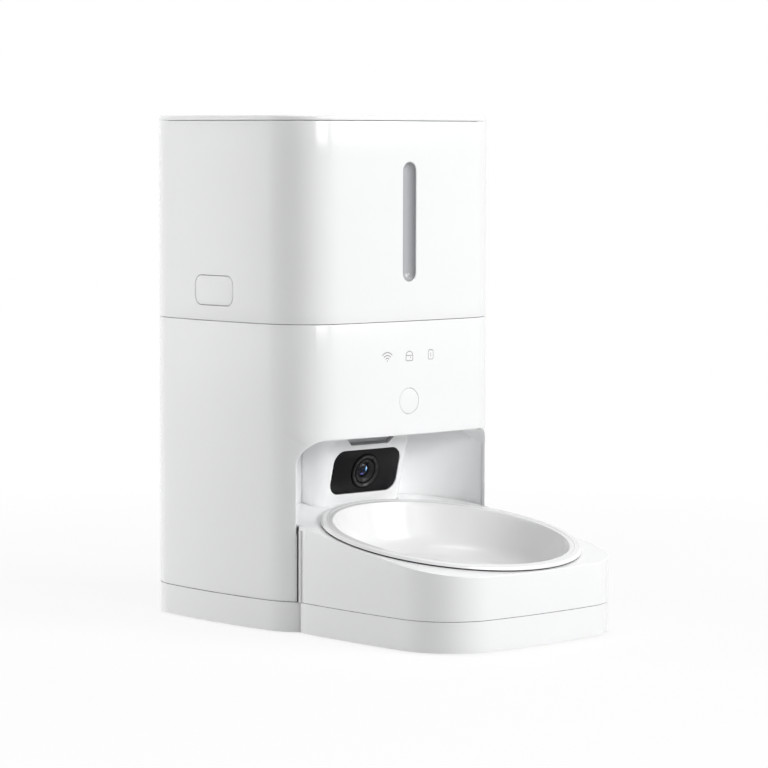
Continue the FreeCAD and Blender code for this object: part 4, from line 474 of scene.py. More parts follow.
def plastic(name, colour, roughness, grain=1.0, ior=1.46, bump=0.25):
    """Moulded plastic: a colour that drifts by a fortieth over some centimetres, a gloss that is
    a little uneven, and a height made of fine grain and slow waves that turns the normal."""
    material = bpy.data.materials.new(name)
    tree = new_tree(material)
    here = tree.node("TexCoord", output="Object")
    drift = tree.node("TexNoise", sockets={"Vector": here, "Scale": 18.0, "Detail": 2.0})
    faded = [c * 0.975 for c in colour]
    tint = tree.node(
        "Mix", {"data_type": "RGBA"}, {0: drift, 6: (*colour, 1), 7: (*faded, 1)}, output=2
    )
    fine = tree.node("TexNoise", sockets={"Vector": here, "Scale": 2600.0, "Detail": 1.0})
    smear = tree.node("TexNoise", sockets={"Vector": here, "Scale": 70.0, "Detail": 4.0})
    waves = tree.node("TexNoise", sockets={"Vector": here, "Scale": 22.0, "Detail": 1.0})
    height = fine * (0.02 * grain) + waves * 0.1
    normal = tree.node("Bump", sockets={"Height": height, "Strength": bump, "Distance": 0.001})
    shader = tree.node(
        "BsdfPrincipled",
        sockets={
            "Base Color": tint,
            "Roughness": smear * 0.08 + (roughness - 0.04),
            "IOR": ior,
            "Normal": normal,
        },
    )
    tree.node("OutputMaterial", sockets={"Surface": shader})
    return material


shell_white = plastic("shell_white_gloss", (0.93, 0.935, 0.94), roughness=0.17, grain=0.4, bump=0.15)

sound_holes = []
for row in range(-3, 4):
    for column in range(-3, 4):
        across = (column + 0.5 * (row % 2)) * SOUND_PITCH
        up = row * SOUND_PITCH * math.sqrt(3) / 2
        if math.hypot(across, up) < SOUND_FIELD:
            hole = Opening("back", across, SOUND_MIDDLE + up, 1.0, 1.0, 1.0, 1.0, 0.1, 0.25, steps=2)
            sound_holes.append(hole)
arch = Opening(
    "front",
    0.0,
    (ARCH_TOP + ARCH_SILL) / 2,
    ARCH_HALF,
    (ARCH_TOP - ARCH_SILL) / 2,
    ARCH_CORNER,
    1.5,
    edge=0.8,
    margin=5.0,
    narrow=(ARCH_STEP, ARCH_HALF - ARCH_LOW_HALF),
)
button_hole = Opening(
    "front", 0.0, BUTTON_LEVEL, BUTTON_HOLE, BUTTON_HOLE, BUTTON_HOLE - 0.01, BUTTON_HOLE - 0.01, 0.25, 1.5
)
inlet_hole = Opening("back", *INLET_PLACE, 8.1, 6.1, 3.0, 3.0, edge=0.4, margin=1.5)
body = casing(
    TOWER,
    BODY_LOW[2],
    BODY_HIGH[2],
    SHELL_WALL,
    SHELL_EDGE,
    [arch, button_hole, inlet_hole, *sound_holes],
)
add_piece("body_casing", body.mesh("body_casing"), "housing", shell_white, ["body_shell"])


# Recess liner. A white moulded tunnel behind the arch, rounded into a half-round bay that takes
# the camera and the bowl's back; its front end meets the back of the casing's face. The food
# comes through the hole in its ceiling, and the camera's leads leave through the one behind.
LINER_LOW, LINER_HIGH = box_in_mm("recess_liner")
LINER_WALL = 2.0
BAY_CORNER = 50.0
MOUTH = (26.4, -18.4, 30.4)
LEAD_HOLE = (22.0, 80.0, 106.0)
BAY_BACK = LINER_HIGH[1] - LINER_WALL
liner_arc = np.linspace(0, math.pi / 2, 17)


def liner_face(places, grow):
    """A grid whose columns stand at places across the recess. Each runs up the bay's wall and then
    forwards under the ceiling. Both are flat in the middle and bend away by a circle's arc at the
    sides: the wall's depth and the ceiling's height are the arc's centre plus the root of the
    radius squared less the square of the distance past the centre."""
    past_bay = np.clip(np.abs(places) - (ARCH_HALF - BAY_CORNER), 0, None)
    past_arch = np.clip(np.abs(places) - (ARCH_HALF - ARCH_CORNER), 0, None)
    rear = BAY_BACK - BAY_CORNER + np.sqrt(np.clip((BAY_CORNER + grow) ** 2 - past_bay**2, 0, None))
    high = ARCH_TOP - ARCH_CORNER + np.sqrt(np.clip((ARCH_CORNER + grow) ** 2 - past_arch**2, 0, None))
    front = TOWER.at(TOWER.angle_at("front", places, SHELL_WALL), SHELL_WALL)[1]
    rear = np.maximum(rear, front)
    up = [np.full(places.shape, level) for level in (LINER_LOW[2], 50.0, *LEAD_HOLE[1:])] + [high]
    middle = np.minimum(np.abs(places), MOUTH[0])
    middle_front = TOWER.at(TOWER.angle_at("front", middle, SHELL_WALL), SHELL_WALL)[1]
    middle_rear = BAY_BACK + grow
    back = []
    for level in reversed(MOUTH[1:]):
        share = (level - middle_front) / (middle_rear - middle_front)
        back.append(front + (rear - front) * share)
    x = np.broadcast_to(places, (len(up) + len(back) + 1, len(places)))
    y = np.stack([rear] * len(up) + back + [front])
    z = np.stack(up + [high] * (len(back) + 1))
    return np.stack([x, y, z], -1)


def liner_end(grow):
    """Where the bay's wall meets the back of the casing's face, found by halving."""
    low, high = ARCH_HALF - ARCH_CORNER, ARCH_HALF + grow
    for _ in range(40):
        middle = (low + high) / 2
        beside = middle - ARCH_HALF + BAY_CORNER
        rear = BAY_BACK - BAY_CORNER + math.sqrt((BAY_CORNER + grow) ** 2 - beside**2)
        front = float(TOWER.at(TOWER.angle_at("front", middle, SHELL_WALL), SHELL_WALL)[1])
        low, high = (middle, high) if rear > front else (low, middle)
    return low


inner_end, outer_end = liner_end(0.0), liner_end(LINER_WALL)
places = np.concatenate(
    [
        ARCH_HALF - BAY_CORNER + BAY_CORNER * np.sin(liner_arc),
        ARCH_HALF - ARCH_CORNER + ARCH_CORNER * np.sin(liner_arc[::2]),
        [0.0, LEAD_HOLE[0], MOUTH[0], inner_end],
    ]
)
places = np.unique(np.round(places[places <= inner_end + 1e-9], 6))
places = np.concatenate([-places[:0:-1], places])
straight = ARCH_HALF - BAY_CORNER
stretch = (outer_end - straight) / (inner_end - straight)
half_places = np.abs(places)
outer_places = np.where(half_places < straight, half_places, straight + (half_places - straight) * stretch)
inside = liner_face(places, 0.0)
outside = liner_face(np.sign(places) * outer_places, LINER_WALL)
liner = Skin()
numbers = liner.add(np.concatenate([inside, outside[::-1]]))
rows = len(inside)
keep = np.ones((2 * rows, len(places) - 1), bool)
for half, foot, top in ((LEAD_HOLE[0], 2, 3), (MOUTH[0], 5, 6)):
    left, right = np.searchsorted(places, [-half - 1e-4, half - 1e-4])
    near, far = cut_cells(keep, 2 * rows - 1, foot, top, left, right)
    liner.web(np.stack([numbers[near], numbers[far]]))
liner.web(np.concatenate([numbers, numbers[:1]]), keep, around=False)
for end, way in ((0, 1), (-1, -1)):
    ring = np.stack([numbers[:rows, end], numbers[: rows - 1 : -1, end]])
    liner.web(ring[::way], around=False)
add_piece("bay_liner", liner.mesh("bay_liner"), "housing", shell_white, ["recess_liner"])


# Lift-off tank. Its casing carries on the tower's outline above a fine seam; the slot in its face
# shows the food's level, and the openings in its sides hold the two latch keys.
HOPPER_LOW, HOPPER_HIGH = box_in_mm("hopper_shell")
WINDOW_MIDDLE = 254.55
WINDOW_HALF_HIGH = 37.55
WINDOW_HALF_WIDE = 5.55
LATCH_LEVEL = 211.2
NOTCH_HALF = 17.0
NOTCH_DEEP = 5.0
NOTCH_ROUND = 3.0


def finger_notch(x, y, z):
    """The back wall's rim dips: its height is the lesser of the rim's and that of a low rounded
    trough, which rises by a quarter circle at each end."""
    past = np.clip(np.abs(x) - (NOTCH_HALF - NOTCH_ROUND), 0, NOTCH_ROUND)
    rise = NOTCH_ROUND - np.sqrt(NOTCH_ROUND**2 - past**2)
    share = np.where(np.abs(x) < NOTCH_HALF, 1 - rise / NOTCH_DEEP, 0)
    near_rim = np.clip((z - HOPPER_HIGH[2] + 20) / 20, 0, 1)
    return z - np.where(y > TOWER.middle, NOTCH_DEEP * share * near_rim, 0)


window_slot = Opening(
    "front",
    0.0,
    WINDOW_MIDDLE,
    WINDOW_HALF_WIDE,
    WINDOW_HALF_HIGH,
    WINDOW_HALF_WIDE - 0.01,
    WINDOW_HALF_WIDE - 0.01,
    edge=0.5,
    margin=1.5,
)
latch_slots = [
    Opening(side, TOWER.middle, LATCH_LEVEL, 18.65, 9.6, 6.0, 6.0, edge=0.2, margin=1.5)
    for side in ("left", "right")
]
hopper = casing(
    TOWER,
    HOPPER_LOW[2],
    HOPPER_HIGH[2],
    SHELL_WALL,
    SHELL_EDGE,
    [window_slot, *latch_slots],
    rim=finger_notch,
)
add_piece("tank_casing", hopper.mesh("tank_casing"), "tank", shell_white, ["hopper_shell"])


# Latch keys. Each is a white moulded key, flush in the side of the tank, with a flange behind the
# wall and a finger that reaches down through a slot in the tower's deck; a coil spring presses it
# outwards.
def rounded_loop(half_wide, half_high, corner, steps=8, edge_steps=1):
    """Core points and outward directions round a rounded rectangle, anticlockwise from +x."""
    quarter = np.linspace(0, math.pi / 2, steps + 1)
    angle = (quarter[None, :] + np.arange(4)[:, None] * math.pi / 2)[..., None]
    out = np.concatenate([np.cos(angle), np.sin(angle)], -1)
    signs = np.array([(1, 1), (-1, 1), (-1, -1), (1, -1)])
    core = (signs * (half_wide - corner, half_high - corner))[:, None, :]
    share = (np.arange(1, edge_steps) / edge_steps)[None, :, None]
    along = core + (np.roll(core, -1, 0) - core) * share
    core = np.concatenate([np.broadcast_to(core, out.shape), along], 1)
    out = np.concatenate([out, np.broadcast_to(out[:, -1:], along.shape)], 1)
    return core.reshape(-1, 2), out.reshape(-1, 2)


def pad(skin, loop, corner, profile, place, across, up, bend=None):
    """A closed block with a rounded rectangle for its outline: each step of its profile is the
    outline's size, its growth and its height along the third way, from the back's middle to the
    front's. A bend moves the finished points."""
    core, out = loop
    across, up = np.array(across, float), np.array(up, float)
    away = np.cross(across, up)
    rows = []
    for size, grow, height in profile:
        ring = size * (core + (corner + grow) * out)
        rows.append(np.array(place) + ring[:, :1] * across + ring[:, 1:] * up + height * away)
    points = np.stack(rows)
    skin.web(skin.add(points if bend is None else bend(points)))


def edge_steps(edge, low, high, steps=4):
    """Profile of a block from its back face to its front, both edges rounded by a quarter circle."""
    turn = np.linspace(0, math.pi / 2, steps)
    back = [(1, -edge * (1 - math.sin(t)), low + edge * (1 - math.cos(t))) for t in turn]
    front = [(1, -edge * (1 - math.cos(t)), high - edge * (1 - math.sin(t))) for t in turn]
    return [(0, 0, low)] + back + front + [(0, 0, high)]


LATCH_HALF = (18.3, 9.25)
LATCH_ROUND = 5.65
LATCH_EDGE = 0.45
KEY_DEEP = 3.3

for side, sign in (("left", -1), ("right", 1)):
    low, high = box_in_mm("latch_" + side)
    back = HOPPER_HIGH[0] - SHELL_WALL - 0.3

    def follow_wall(points):
        """Moves the key's points outwards by what the casing's side wall stands out beyond its
        middle, so that the key lies flush in it."""
        wall_x = TOWER.at(TOWER.angle_at("right", points[..., 1]))[0]
        points[..., 0] += sign * (wall_x - HOPPER_HIGH[0])
        return points

    key = Skin()
    loop = rounded_loop(*LATCH_HALF, LATCH_ROUND, edge_steps=6)
    profile = edge_steps(LATCH_EDGE, -KEY_DEEP, 0.0)
    profile[-1:] = [(share, -LATCH_EDGE * share, 0.0) for share in (0.75, 0.5, 0.25, 0.0)]
    face = (sign * HOPPER_HIGH[0], TOWER.middle, LATCH_LEVEL)
    pad(key, loop, LATCH_ROUND, profile, face, (0, sign, 0), (0, 0, 1), follow_wall)
    flange_low, flange_high = LATCH_LEVEL - 11.6, LATCH_LEVEL + 3.6
    flange = (sign * (back - 0.5), TOWER.middle, (flange_low + flange_high) / 2)
    loop = rounded_loop(20.65, (flange_high - flange_low) / 2, 1.0, 3)
    pad(key, loop, 1.0, edge_steps(0.3, -1.5, 0.0), flange, (0, sign, 0), (0, 0, 1))
    finger_half = (LATCH_LEVEL - low[2]) / 2
    finger = (sign * (back - 0.5), TOWER.middle, low[2] + finger_half)
    pad(
        key,
        rounded_loop(8.0, finger_half, 1.0, 3),
        1.0,
        edge_steps(0.3, -2.5, 0.0),
        finger,
        (0, sign, 0),
        (0, 0, 1),
    )
    name = "latch_" + side
    add_piece(name + "_key", key.mesh(name + "_key"), name, shell_white, [name])

# Level window. A strip of smoked clear plastic with a hollow front, snapped into the slot from
# inside; grey food tank shows through it.
WINDOW_FACE = 0.35
WINDOW_TROUGH = 4.0
WINDOW_DEEP = 5.0
window_back = BODY_LOW[1] + WINDOW_DEEP
smoked = plastic("smoked_window", (0.45, 0.46, 0.475), roughness=0.16, grain=0.3, ior=1.5)
strip = Skin()
window_round = WINDOW_HALF_WIDE - 0.11
window_half = (WINDOW_HALF_WIDE - 0.1, WINDOW_HALF_HIGH - 0.1)
window_face = WINDOW_DEEP - WINDOW_FACE
hollow = np.linspace(0, math.pi / 2, 12)
profile = [(0, 0, 0), (1, 0, 0), (1, 0, window_face - 0.15), (1, -0.15, window_face)]
# The hollow is half an oval across: from the edge in, its depth follows a quarter of a turn
for t in hollow:
    grow = -0.25 - (window_round - 0.4) * (1 - math.cos(t))
    profile.append((1, grow, window_face - WINDOW_TROUGH * math.sin(t)))
profile.append((0, 0, window_face - WINDOW_TROUGH))
loop = rounded_loop(*window_half, window_round, 10)
pad(strip, loop, window_round, profile, (0, window_back, WINDOW_MIDDLE), (1, 0, 0), (0, 0, 1))
add_piece("level_strip", strip.mesh("level_strip"), "tank", smoked, ["level_window"])


# Lid. A white moulded plate with a rounded top edge; its skirt, which carries the seal, drops
# inside the tank, and a round socket under it holds the drying agent.
def rounded_line(corners, radii, steps=6):
    """A closed line with rounded corners: each corner becomes the arc that touches both its sides,
    and points run along the arc from one to the other."""
    corners, radii = np.asarray(corners, float), np.asarray(radii, float)
    come, go = corners - np.roll(corners, 1, 0), np.roll(corners, -1, 0) - corners
    come_long, go_long = np.linalg.norm(come, axis=1), np.linalg.norm(go, axis=1)
    come, go = come / come_long[:, None], go / go_long[:, None]
    turn = np.arctan2(come[:, 0] * go[:, 1] - come[:, 1] * go[:, 0], (come * go).sum(1))
    bend = np.maximum(np.tan(np.abs(turn) / 2), 1e-6)
    reach = np.minimum(radii * bend, 0.49 * np.minimum(come_long, go_long))
    normal = np.sign(turn)[:, None] * np.stack([-come[:, 1], come[:, 0]], -1)
    spoke = -normal * (reach / bend)[:, None]
    centre = corners - come * reach[:, None] - spoke
    angle = turn[:, None] * np.linspace(0, 1, steps + 1)
    x = centre[:, :1] + spoke[:, :1] * np.cos(angle) - spoke[:, 1:] * np.sin(angle)
    y = centre[:, 1:] + spoke[:, :1] * np.sin(angle) + spoke[:, 1:] * np.cos(angle)
    return np.stack([x, y], -1).reshape(-1, 2)


LID_LOW, LID_HIGH = box_in_mm("lid")
LID_PLATE = 3.0
LID_ROUND = 2.1
SKIRT_OUT = 6.4
SKIRT_IN = 8.2
SKIRT_FOOT = 306.0
SOCKET_OUT = 26.0
SOCKET_IN = 24.0

lid = Skin()
columns = TOWER.angles(24)
plate_low = LID_HIGH[2] - LID_PLATE
section = rounded_line(
    [
        (SKIRT_OUT, plate_low),
        (0, plate_low),
        (0, LID_HIGH[2]),
        (40, LID_HIGH[2]),
        (40, plate_low),
        (SKIRT_IN, plate_low),
        (SKIRT_IN, SKIRT_FOOT),
        (SKIRT_OUT, SKIRT_FOOT),
    ],
    [0.3, 0.35, LID_ROUND, 0, 0, 0.5, 0.4, 0.4],
    5,
)
# Past the skirt, the plate's top and underside run in to the socket's round wall and the middle
rings = []
for inset, level in section:
    if inset < 30:
        rings.append((*TOWER.at(columns, inset), level))
    elif level > plate_low + 1:
        rings.append((0 * columns, 0 * columns + TOWER.middle, level))
    elif len(rings) and rings[-1][2] != plate_low:
        for radius, low in (
            (0, plate_low),
            (SOCKET_IN, plate_low),
            (SOCKET_IN, LID_LOW[2]),
            (SOCKET_OUT, LID_LOW[2]),
            (SOCKET_OUT, plate_low),
        ):
            rings.append((radius * np.cos(columns), TOWER.middle + radius * np.sin(columns), low))
lid.wrap(*rings)
add_piece("lid_plate", lid.mesh("lid_plate"), "lid", shell_white, ["lid"])
# Tray. A white moulded tray stands in front of the tower: its sloping deck has a raised collar
# round the bowl's hole, and runs on into the recess as an apron with a notch for the camera.
TRAY_LOW, TRAY_HIGH = box_in_mm("tray_shell")
TRAY = Outline(
    half_x=TRAY_HIGH[0], half_y=82.4, side=758.0, face=554.0, corner=40.1, middle=TRAY_LOW[1] + 82.4
)
DECK_MIDDLE = np.array([0, TRAY.middle, 59.3])
DECK_TILT = math.radians(9.17)
DECK_OUT = np.array([0, -math.sin(DECK_TILT), math.cos(DECK_TILT)])
TRAY_GAP = 0.5
APRON_HALF = 80.5
APRON_CORNER = 49.2
APRON_BACK = 37.6
NOTCH_WIDE = 38.4
NOTCH_FRONT = 24.2
NOTCH_CORNER = 9.4
BOWL_HOLE = 78.0
COLLAR_OUT = 86.5
DECK_EDGE = 0.5
COLLAR = np.array(
    [(78, 0.65), (78.8, 0.65), (79.05, 0.55), (79.15, 0.3), (79.4, 0), (83, 0), (86.5, 0), (300, 0)]
)


def deck_level(y, height):
    """The level of the plane that lies some height over the deck, at a distance to the rear."""
    return DECK_MIDDLE[2] + (height - (y - TRAY.middle) * DECK_OUT[1]) / DECK_OUT[2]


def tray_border():
    """The deck's edge in plan, anticlockwise from the middle of the front, and which of its points
    stand on the tray's upright wall.

    It follows the tray's outline to the tower, the tower's own outline at a gap, the apron's side
    and round corner, and the notch's side, corner and front; the left half mirrors the right.
    """
    angle = np.unique(np.round(np.concatenate([TRAY.angles(24), [-math.pi / 2]]), 7))
    angle = angle[(angle > -math.pi / 2 - 1e-6) & (angle < -1e-6)]
    fine = np.linspace(0, 0.1, 2000)
    wall_x = TRAY.centres[0, 0] + TRAY.radii[0] * np.cos(fine)
    wall_y = TRAY.middle + TRAY.radii[0] * np.sin(fine)
    tower_y = TOWER.at(TOWER.angle_at("front", wall_x, -TRAY_GAP), -TRAY_GAP)[1]
    last = np.argmax(wall_y > tower_y)
    side = np.linspace(0, last, 8).astype(int)
    front = TRAY.at(angle)
    front = np.append(front[0], wall_x[side]), np.append(front[1], wall_y[side])
    rear_x = np.linspace(front[0][-1], APRON_HALF - 0.07, 4)[1:]
    rear = TOWER.at(TOWER.angle_at("front", rear_x, -TRAY_GAP), -TRAY_GAP)
    centre = (APRON_HALF - APRON_CORNER, APRON_BACK - APRON_CORNER)
    start = math.asin((rear[1][-1] - centre[1]) / APRON_CORNER) + 0.006
    tip = math.acos((NOTCH_WIDE - centre[0]) / APRON_CORNER)
    round_corner = np.linspace(start, tip, 20)
    apron_x = centre[0] + APRON_CORNER * np.cos(round_corner)
    apron_y = centre[1] + APRON_CORNER * np.sin(round_corner)
    notch = np.linspace(0, math.pi / 2, 9)
    notch_x = NOTCH_WIDE - NOTCH_CORNER + NOTCH_CORNER * np.cos(notch)
    notch_y = NOTCH_FRONT + NOTCH_CORNER - NOTCH_CORNER * np.sin(notch)
    flat_x = np.linspace(notch_x[-1], 0, 6)[1:]
    x = np.concatenate([front[0], rear[0], apron_x, notch_x, flat_x])
    y = np.concatenate([front[1], rear[1], apron_y, notch_y, NOTCH_FRONT + 0 * flat_x])
    walled = np.arange(x.size) < front[0].size + rear[0].size
    x, y = np.concatenate([x, -x[-2:0:-1]]), np.concatenate([y, y[-2:0:-1]])
    return x, y, np.concatenate([walled, walled[-2:0:-1]])


def deck_directions(x, y):
    """The direction from the bowl's axis in which each point of the border is reached. It is the
    point's own direction along the wall; round the apron it grows evenly with the border's length,
    so that no two of the lines from the collar to the border cross in the notch."""
    along = (y - TRAY.middle) / DECK_OUT[2]
    own = np.unwrap(np.arctan2(along, x))
    step = np.hypot(np.diff(x, append=x[:1]), np.diff(along, append=along[:1]))
    length = np.concatenate([[0], np.cumsum(step)[:-1]])
    corner = (y > APRON_BACK - APRON_CORNER) & (np.abs(x) > NOTCH_WIDE - NOTCH_CORNER + 1e-6)
    for half in (x > 0, x < 0):
        run = np.flatnonzero(corner & half)
        ends = [max(run[0] - 1, 0), (run[-1] + 1) % x.size]
        own[run] = np.interp(length[run], length[ends], own[ends])
    return own


def tray_skin(low, wall):
    """Rings from the bowl's hole over the collar and the deck to the border, down the wall, up its
    inside and back under the deck; round the apron the wall is only the deck's own thickness."""
    x, y, walled = tray_border()
    way = deck_directions(x, y)
    in_plane = np.stack([np.cos(way), np.sin(way) * DECK_OUT[2]], -1)
    border = np.linalg.norm(np.stack([x, (y - TRAY.middle) / DECK_OUT[2]], -1), axis=1)
    towards = np.stack([np.roll(y, -1) - np.roll(y, 1), np.roll(x, 1) - np.roll(x, -1)], -1)
    towards /= np.linalg.norm(towards, axis=1, keepdims=True)

    def ring(radius, drop=0.0):
        reach = np.minimum(radius, border - DECK_EDGE)
        height = np.interp(reach, COLLAR[:, 0], COLLAR[:, 1]) - drop
        place = reach[:, None] * in_plane
        place_y = TRAY.middle + place[:, 1] + height * DECK_OUT[1]
        return place[:, 0], place_y, deck_level(place_y, height)

    def rim(inset, drop):
        rim_x, rim_y = x - inset * towards[:, 0], y - inset * towards[:, 1]
        reach = np.hypot(rim_x, (rim_y - TRAY.middle) / DECK_OUT[2])
        return rim_x, rim_y, deck_level(rim_y, np.interp(reach, COLLAR[:, 0], COLLAR[:, 1]) - drop)

    def foot(inset, level):
        inner_x, inner_y, inner_z = rim(inset, wall)
        inner_y = np.where(walled, np.minimum(inner_y, REAR_END), inner_y)
        return inner_x, inner_y, np.where(walled, level, inner_z)

    REAR_END = y[walled].max() - wall * 0.7
    turn = np.linspace(0, math.pi / 2, 5)
    rings = [ring(radius) for radius in COLLAR[:-1, 0]]
    rings += [rim(DECK_EDGE * (1 - math.sin(t)), DECK_EDGE * (1 - math.cos(t))) for t in turn]
    outer_foot = rim(0.0, wall)
    rings += [(x, y, np.where(walled, low, outer_foot[2]))]
    rings += [foot(wall, low), foot(wall, 0.0)]
    rings[-1] = (rings[-1][0], rings[-1][1], deck_level(rings[-1][1], -wall))
    rings += [ring(COLLAR_OUT, wall), ring(BOWL_HOLE, wall)]
    return rings


tray = Skin()
tray.wrap(*tray_skin(TRAY_LOW[2], SHELL_WALL)[::-1])
add_piece("tray_casing", tray.mesh("tray_casing"), "housing", shell_white, ["tray_shell"], 25)


# Joint strips. The photograph shows a dark line where the tray's side meets the tower, but not what makes
# it. A thin matt black strip in each joint, a little proud of the tray, stands for it as painted shade in
# the joint.
STRIP_ENDS = (78.0, 81.3)
STRIP_NEAR = -0.03
STRIP_FAR = -0.47
STRIP_LIFT = 0.1
STRIP_UNDER_DECK = 0.7
painted_shade_black = plastic("painted_shade_black_matt", (0.02, 0.02, 0.021), roughness=0.6, grain=0.4, bump=0.1)
strips = Skin()
for side in (1, -1):
    along = np.linspace(*STRIP_ENDS, 10)
    near = np.stack(TOWER.at(TOWER.angle_at("front", along, STRIP_NEAR), STRIP_NEAR), -1)
    far = np.stack(TOWER.at(TOWER.angle_at("front", along, STRIP_FAR), STRIP_FAR), -1)
    plan = np.concatenate([far, near[::-1]])[::side] * (side, 1)
    width, depth = plan.T
    under = deck_level(depth, -STRIP_UNDER_DECK)
    middle = np.full(width.size, width.mean()), np.full(width.size, depth.mean())
    strips.wrap(
        (*middle, TRAY_LOW[2] + STRIP_LIFT),
        (width, depth, TRAY_LOW[2] + STRIP_LIFT),
        (width, depth, under),
        (*middle, under.mean()),
        closed=False,
    )
add_piece("joint_strips", strips.mesh("joint_strips"), "housing", painted_shade_black)


# Bowl. A dished bowl pressed in glossy white plastic with a beaded rim; it stands loose in the
# tray's collar and lifts out for washing.
def turned(profile, origin, axis, steps=144):
    """Rings of a shape turned about an axis: each point of its closed profile, a radius and a
    height along the axis, goes once round. The profile is run anticlockwise, so it faces out."""
    profile = np.asarray(profile, float)
    radius, height = profile.T
    if (radius * np.roll(height, -1) - np.roll(radius, -1) * height).sum() < 0:
        radius, height = radius[::-1], height[::-1]
    axis = np.array(axis, float)
    across = np.array([1.0, 0, 0]) if abs(axis[0]) < 0.5 else np.array([0, 1.0, 0])
    up = np.cross(axis, across)
    round_it = np.linspace(0, 2 * math.pi, steps, endpoint=False)[None, :, None]
    out = np.cos(round_it) * across + np.sin(round_it) * up
    return np.array(origin) + radius[:, None, None] * out + height[:, None, None] * axis


BOWL_PROFILE = [
    (0, -27, 0),
    (52, -27, 14),
    (63, -20, 16),
    (73.2, 0.8, 6),
    (74.4, 2.75, 0.9),
    (77.0, 2.85, 0.25),
    (77.4, 3.15, 0.25),
    (81.1, 3.15, 1.3),
    (82.1, 0.95, 0.25),
    (79.4, 0.7, 0.3),
    (75.8, 0.7, 0.4),
    (75.0, -1.6, 4),
    (65.2, -21, 16),
    (53, -29.2, 14),
    (0, -29.2, 0),
]
bowl_white = plastic("bowl_white_gloss", (0.89, 0.89, 0.895), roughness=0.17, grain=0.2, bump=0.1)
bowl = Skin()
profile = np.array(BOWL_PROFILE)
numbers = bowl.add(turned(rounded_line(profile[:, :2], profile[:, 2], 8), DECK_MIDDLE, DECK_OUT, 180))
bowl.web(np.concatenate([numbers, numbers[:1]]))
add_piece("food_bowl", bowl.mesh("food_bowl"), "bowl", bowl_white, ["bowl"])


# Rim shade ring. The photograph shows a dark line under the bowl's rim, but not what makes it. A flat matt
# black ring on the tray's collar stands for it as painted shade under the rim.
RIM_SHADE_IN = 78.3
RIM_SHADE_OUT = 81.3
RIM_SHADE_LOW = 0.1
RIM_SHADE_HIGH = 0.66
rim_shade = Skin()
rim_shade_profile = [(RIM_SHADE_IN, RIM_SHADE_LOW), (RIM_SHADE_OUT, RIM_SHADE_LOW), (RIM_SHADE_OUT, RIM_SHADE_HIGH), (RIM_SHADE_IN, RIM_SHADE_HIGH)]
numbers = rim_shade.add(turned(rim_shade_profile, DECK_MIDDLE, DECK_OUT, 144))
rim_shade.web(np.concatenate([numbers, numbers[:1]]))
add_piece("bowl_rim_shade_ring", rim_shade.mesh("bowl_rim_shade_ring"), "housing", painted_shade_black, (), 20)
# Feed button. A white cap flush in the tower's face, with a flange behind the wall that keeps it
# in and a stem that reaches the switch on the front board.
BUTTON_RADIUS = 8.1
BUTTON_LOW, BUTTON_HIGH = box_in_mm("feed_button")
BUTTON_BACK = 3.55
BUTTON_FLANGE = 1.0
button_white = plastic("button_white_satin", (0.92, 0.925, 0.93), roughness=0.3)
button_long = BUTTON_HIGH[1] - BUTTON_LOW[1]
button_profile = rounded_line(
    [
        (0, 0),
        (BUTTON_RADIUS, 0),
        (BUTTON_RADIUS, -BUTTON_BACK),
        (BUTTON_RADIUS + 1.6, -BUTTON_BACK),
        (BUTTON_RADIUS + 1.6, -BUTTON_BACK - BUTTON_FLANGE),
        (1.8, -BUTTON_BACK - BUTTON_FLANGE),
        (1.8, -button_long),
        (0, -button_long),
    ],
    [0, 0.4, 0.2, 0.2, 0.2, 0.3, 0.3, 0],
)
button = Skin()
numbers = button.add(turned(button_profile, (0, BUTTON_LOW[1], BUTTON_LEVEL), (0, -1, 0), 96))
button.web(np.concatenate([numbers, numbers[:1]]))
cap_mesh = button.mesh("feed_button_cap")
add_piece("feed_button_cap", cap_mesh, "feed_button", button_white, ["feed_button"])

# Printed signs. Three small grey signs are pad printed above the button, over the lights behind
# the wall: a radio signal, a food jar and a cell.
SIGN_LEVEL = 170.2
SIGN_PITCH = 18.7
SIGN_LINE = 0.62
INK_PROUD = 0.03
ink = plastic("printed_grey", (0.36, 0.35, 0.365), roughness=0.5)
signs = Skin()


def stroke(points, width, closed=False):
    """An even line of ink along points in the plane of the face: at each point the cross-section
    is a flat rectangle square to the line, half in the wall and half a hair proud of it."""
    points = np.asarray(points, float)
    if closed:
        way = np.roll(points, -1, 0) - np.roll(points, 1, 0)
    else:
        way = np.gradient(points, axis=0)
    way /= np.linalg.norm(way, axis=1, keepdims=True)
    side = np.stack([-way[:, 1], way[:, 0]], -1) * width / 2
    if not closed:
        reach = way * width / 2
        points = np.concatenate([points[:1] - reach[:1], points, points[-1:] + reach[-1:]])
        taper = np.array([0.45] + [1.0] * len(side) + [0.45])[:, None]
        side = np.concatenate([side[:1], side, side[-1:]]) * taper
    corners = np.stack([points + side, points - side, points - side, points + side], 1)
    face_y = TOWER.at(TOWER.angle_at("front", corners[..., 0]))[1]
    depth = np.array([INK_PROUD, INK_PROUD, -INK_PROUD, -INK_PROUD])
    ink_points = np.stack([corners[..., 0], face_y - depth, corners[..., 1]], -1)
    if not closed:
        ends = ink_points[[0, -1]].mean(1, keepdims=True) + np.zeros((2, 4, 3))
        ink_points = np.concatenate([ends[:1], ink_points, ends[1:]])
    numbers = signs.add(ink_points)
    signs.web(np.concatenate([numbers, numbers[:1]]) if closed else numbers)


def arc_points(x, z, radius, start, end, steps=16):
    """Points on an arc about a place, from one direction to another, in degrees from +x."""
    angle = np.radians(np.linspace(start, end, steps))
    return np.stack([x + radius * np.cos(angle), z + radius * np.sin(angle)], -1)


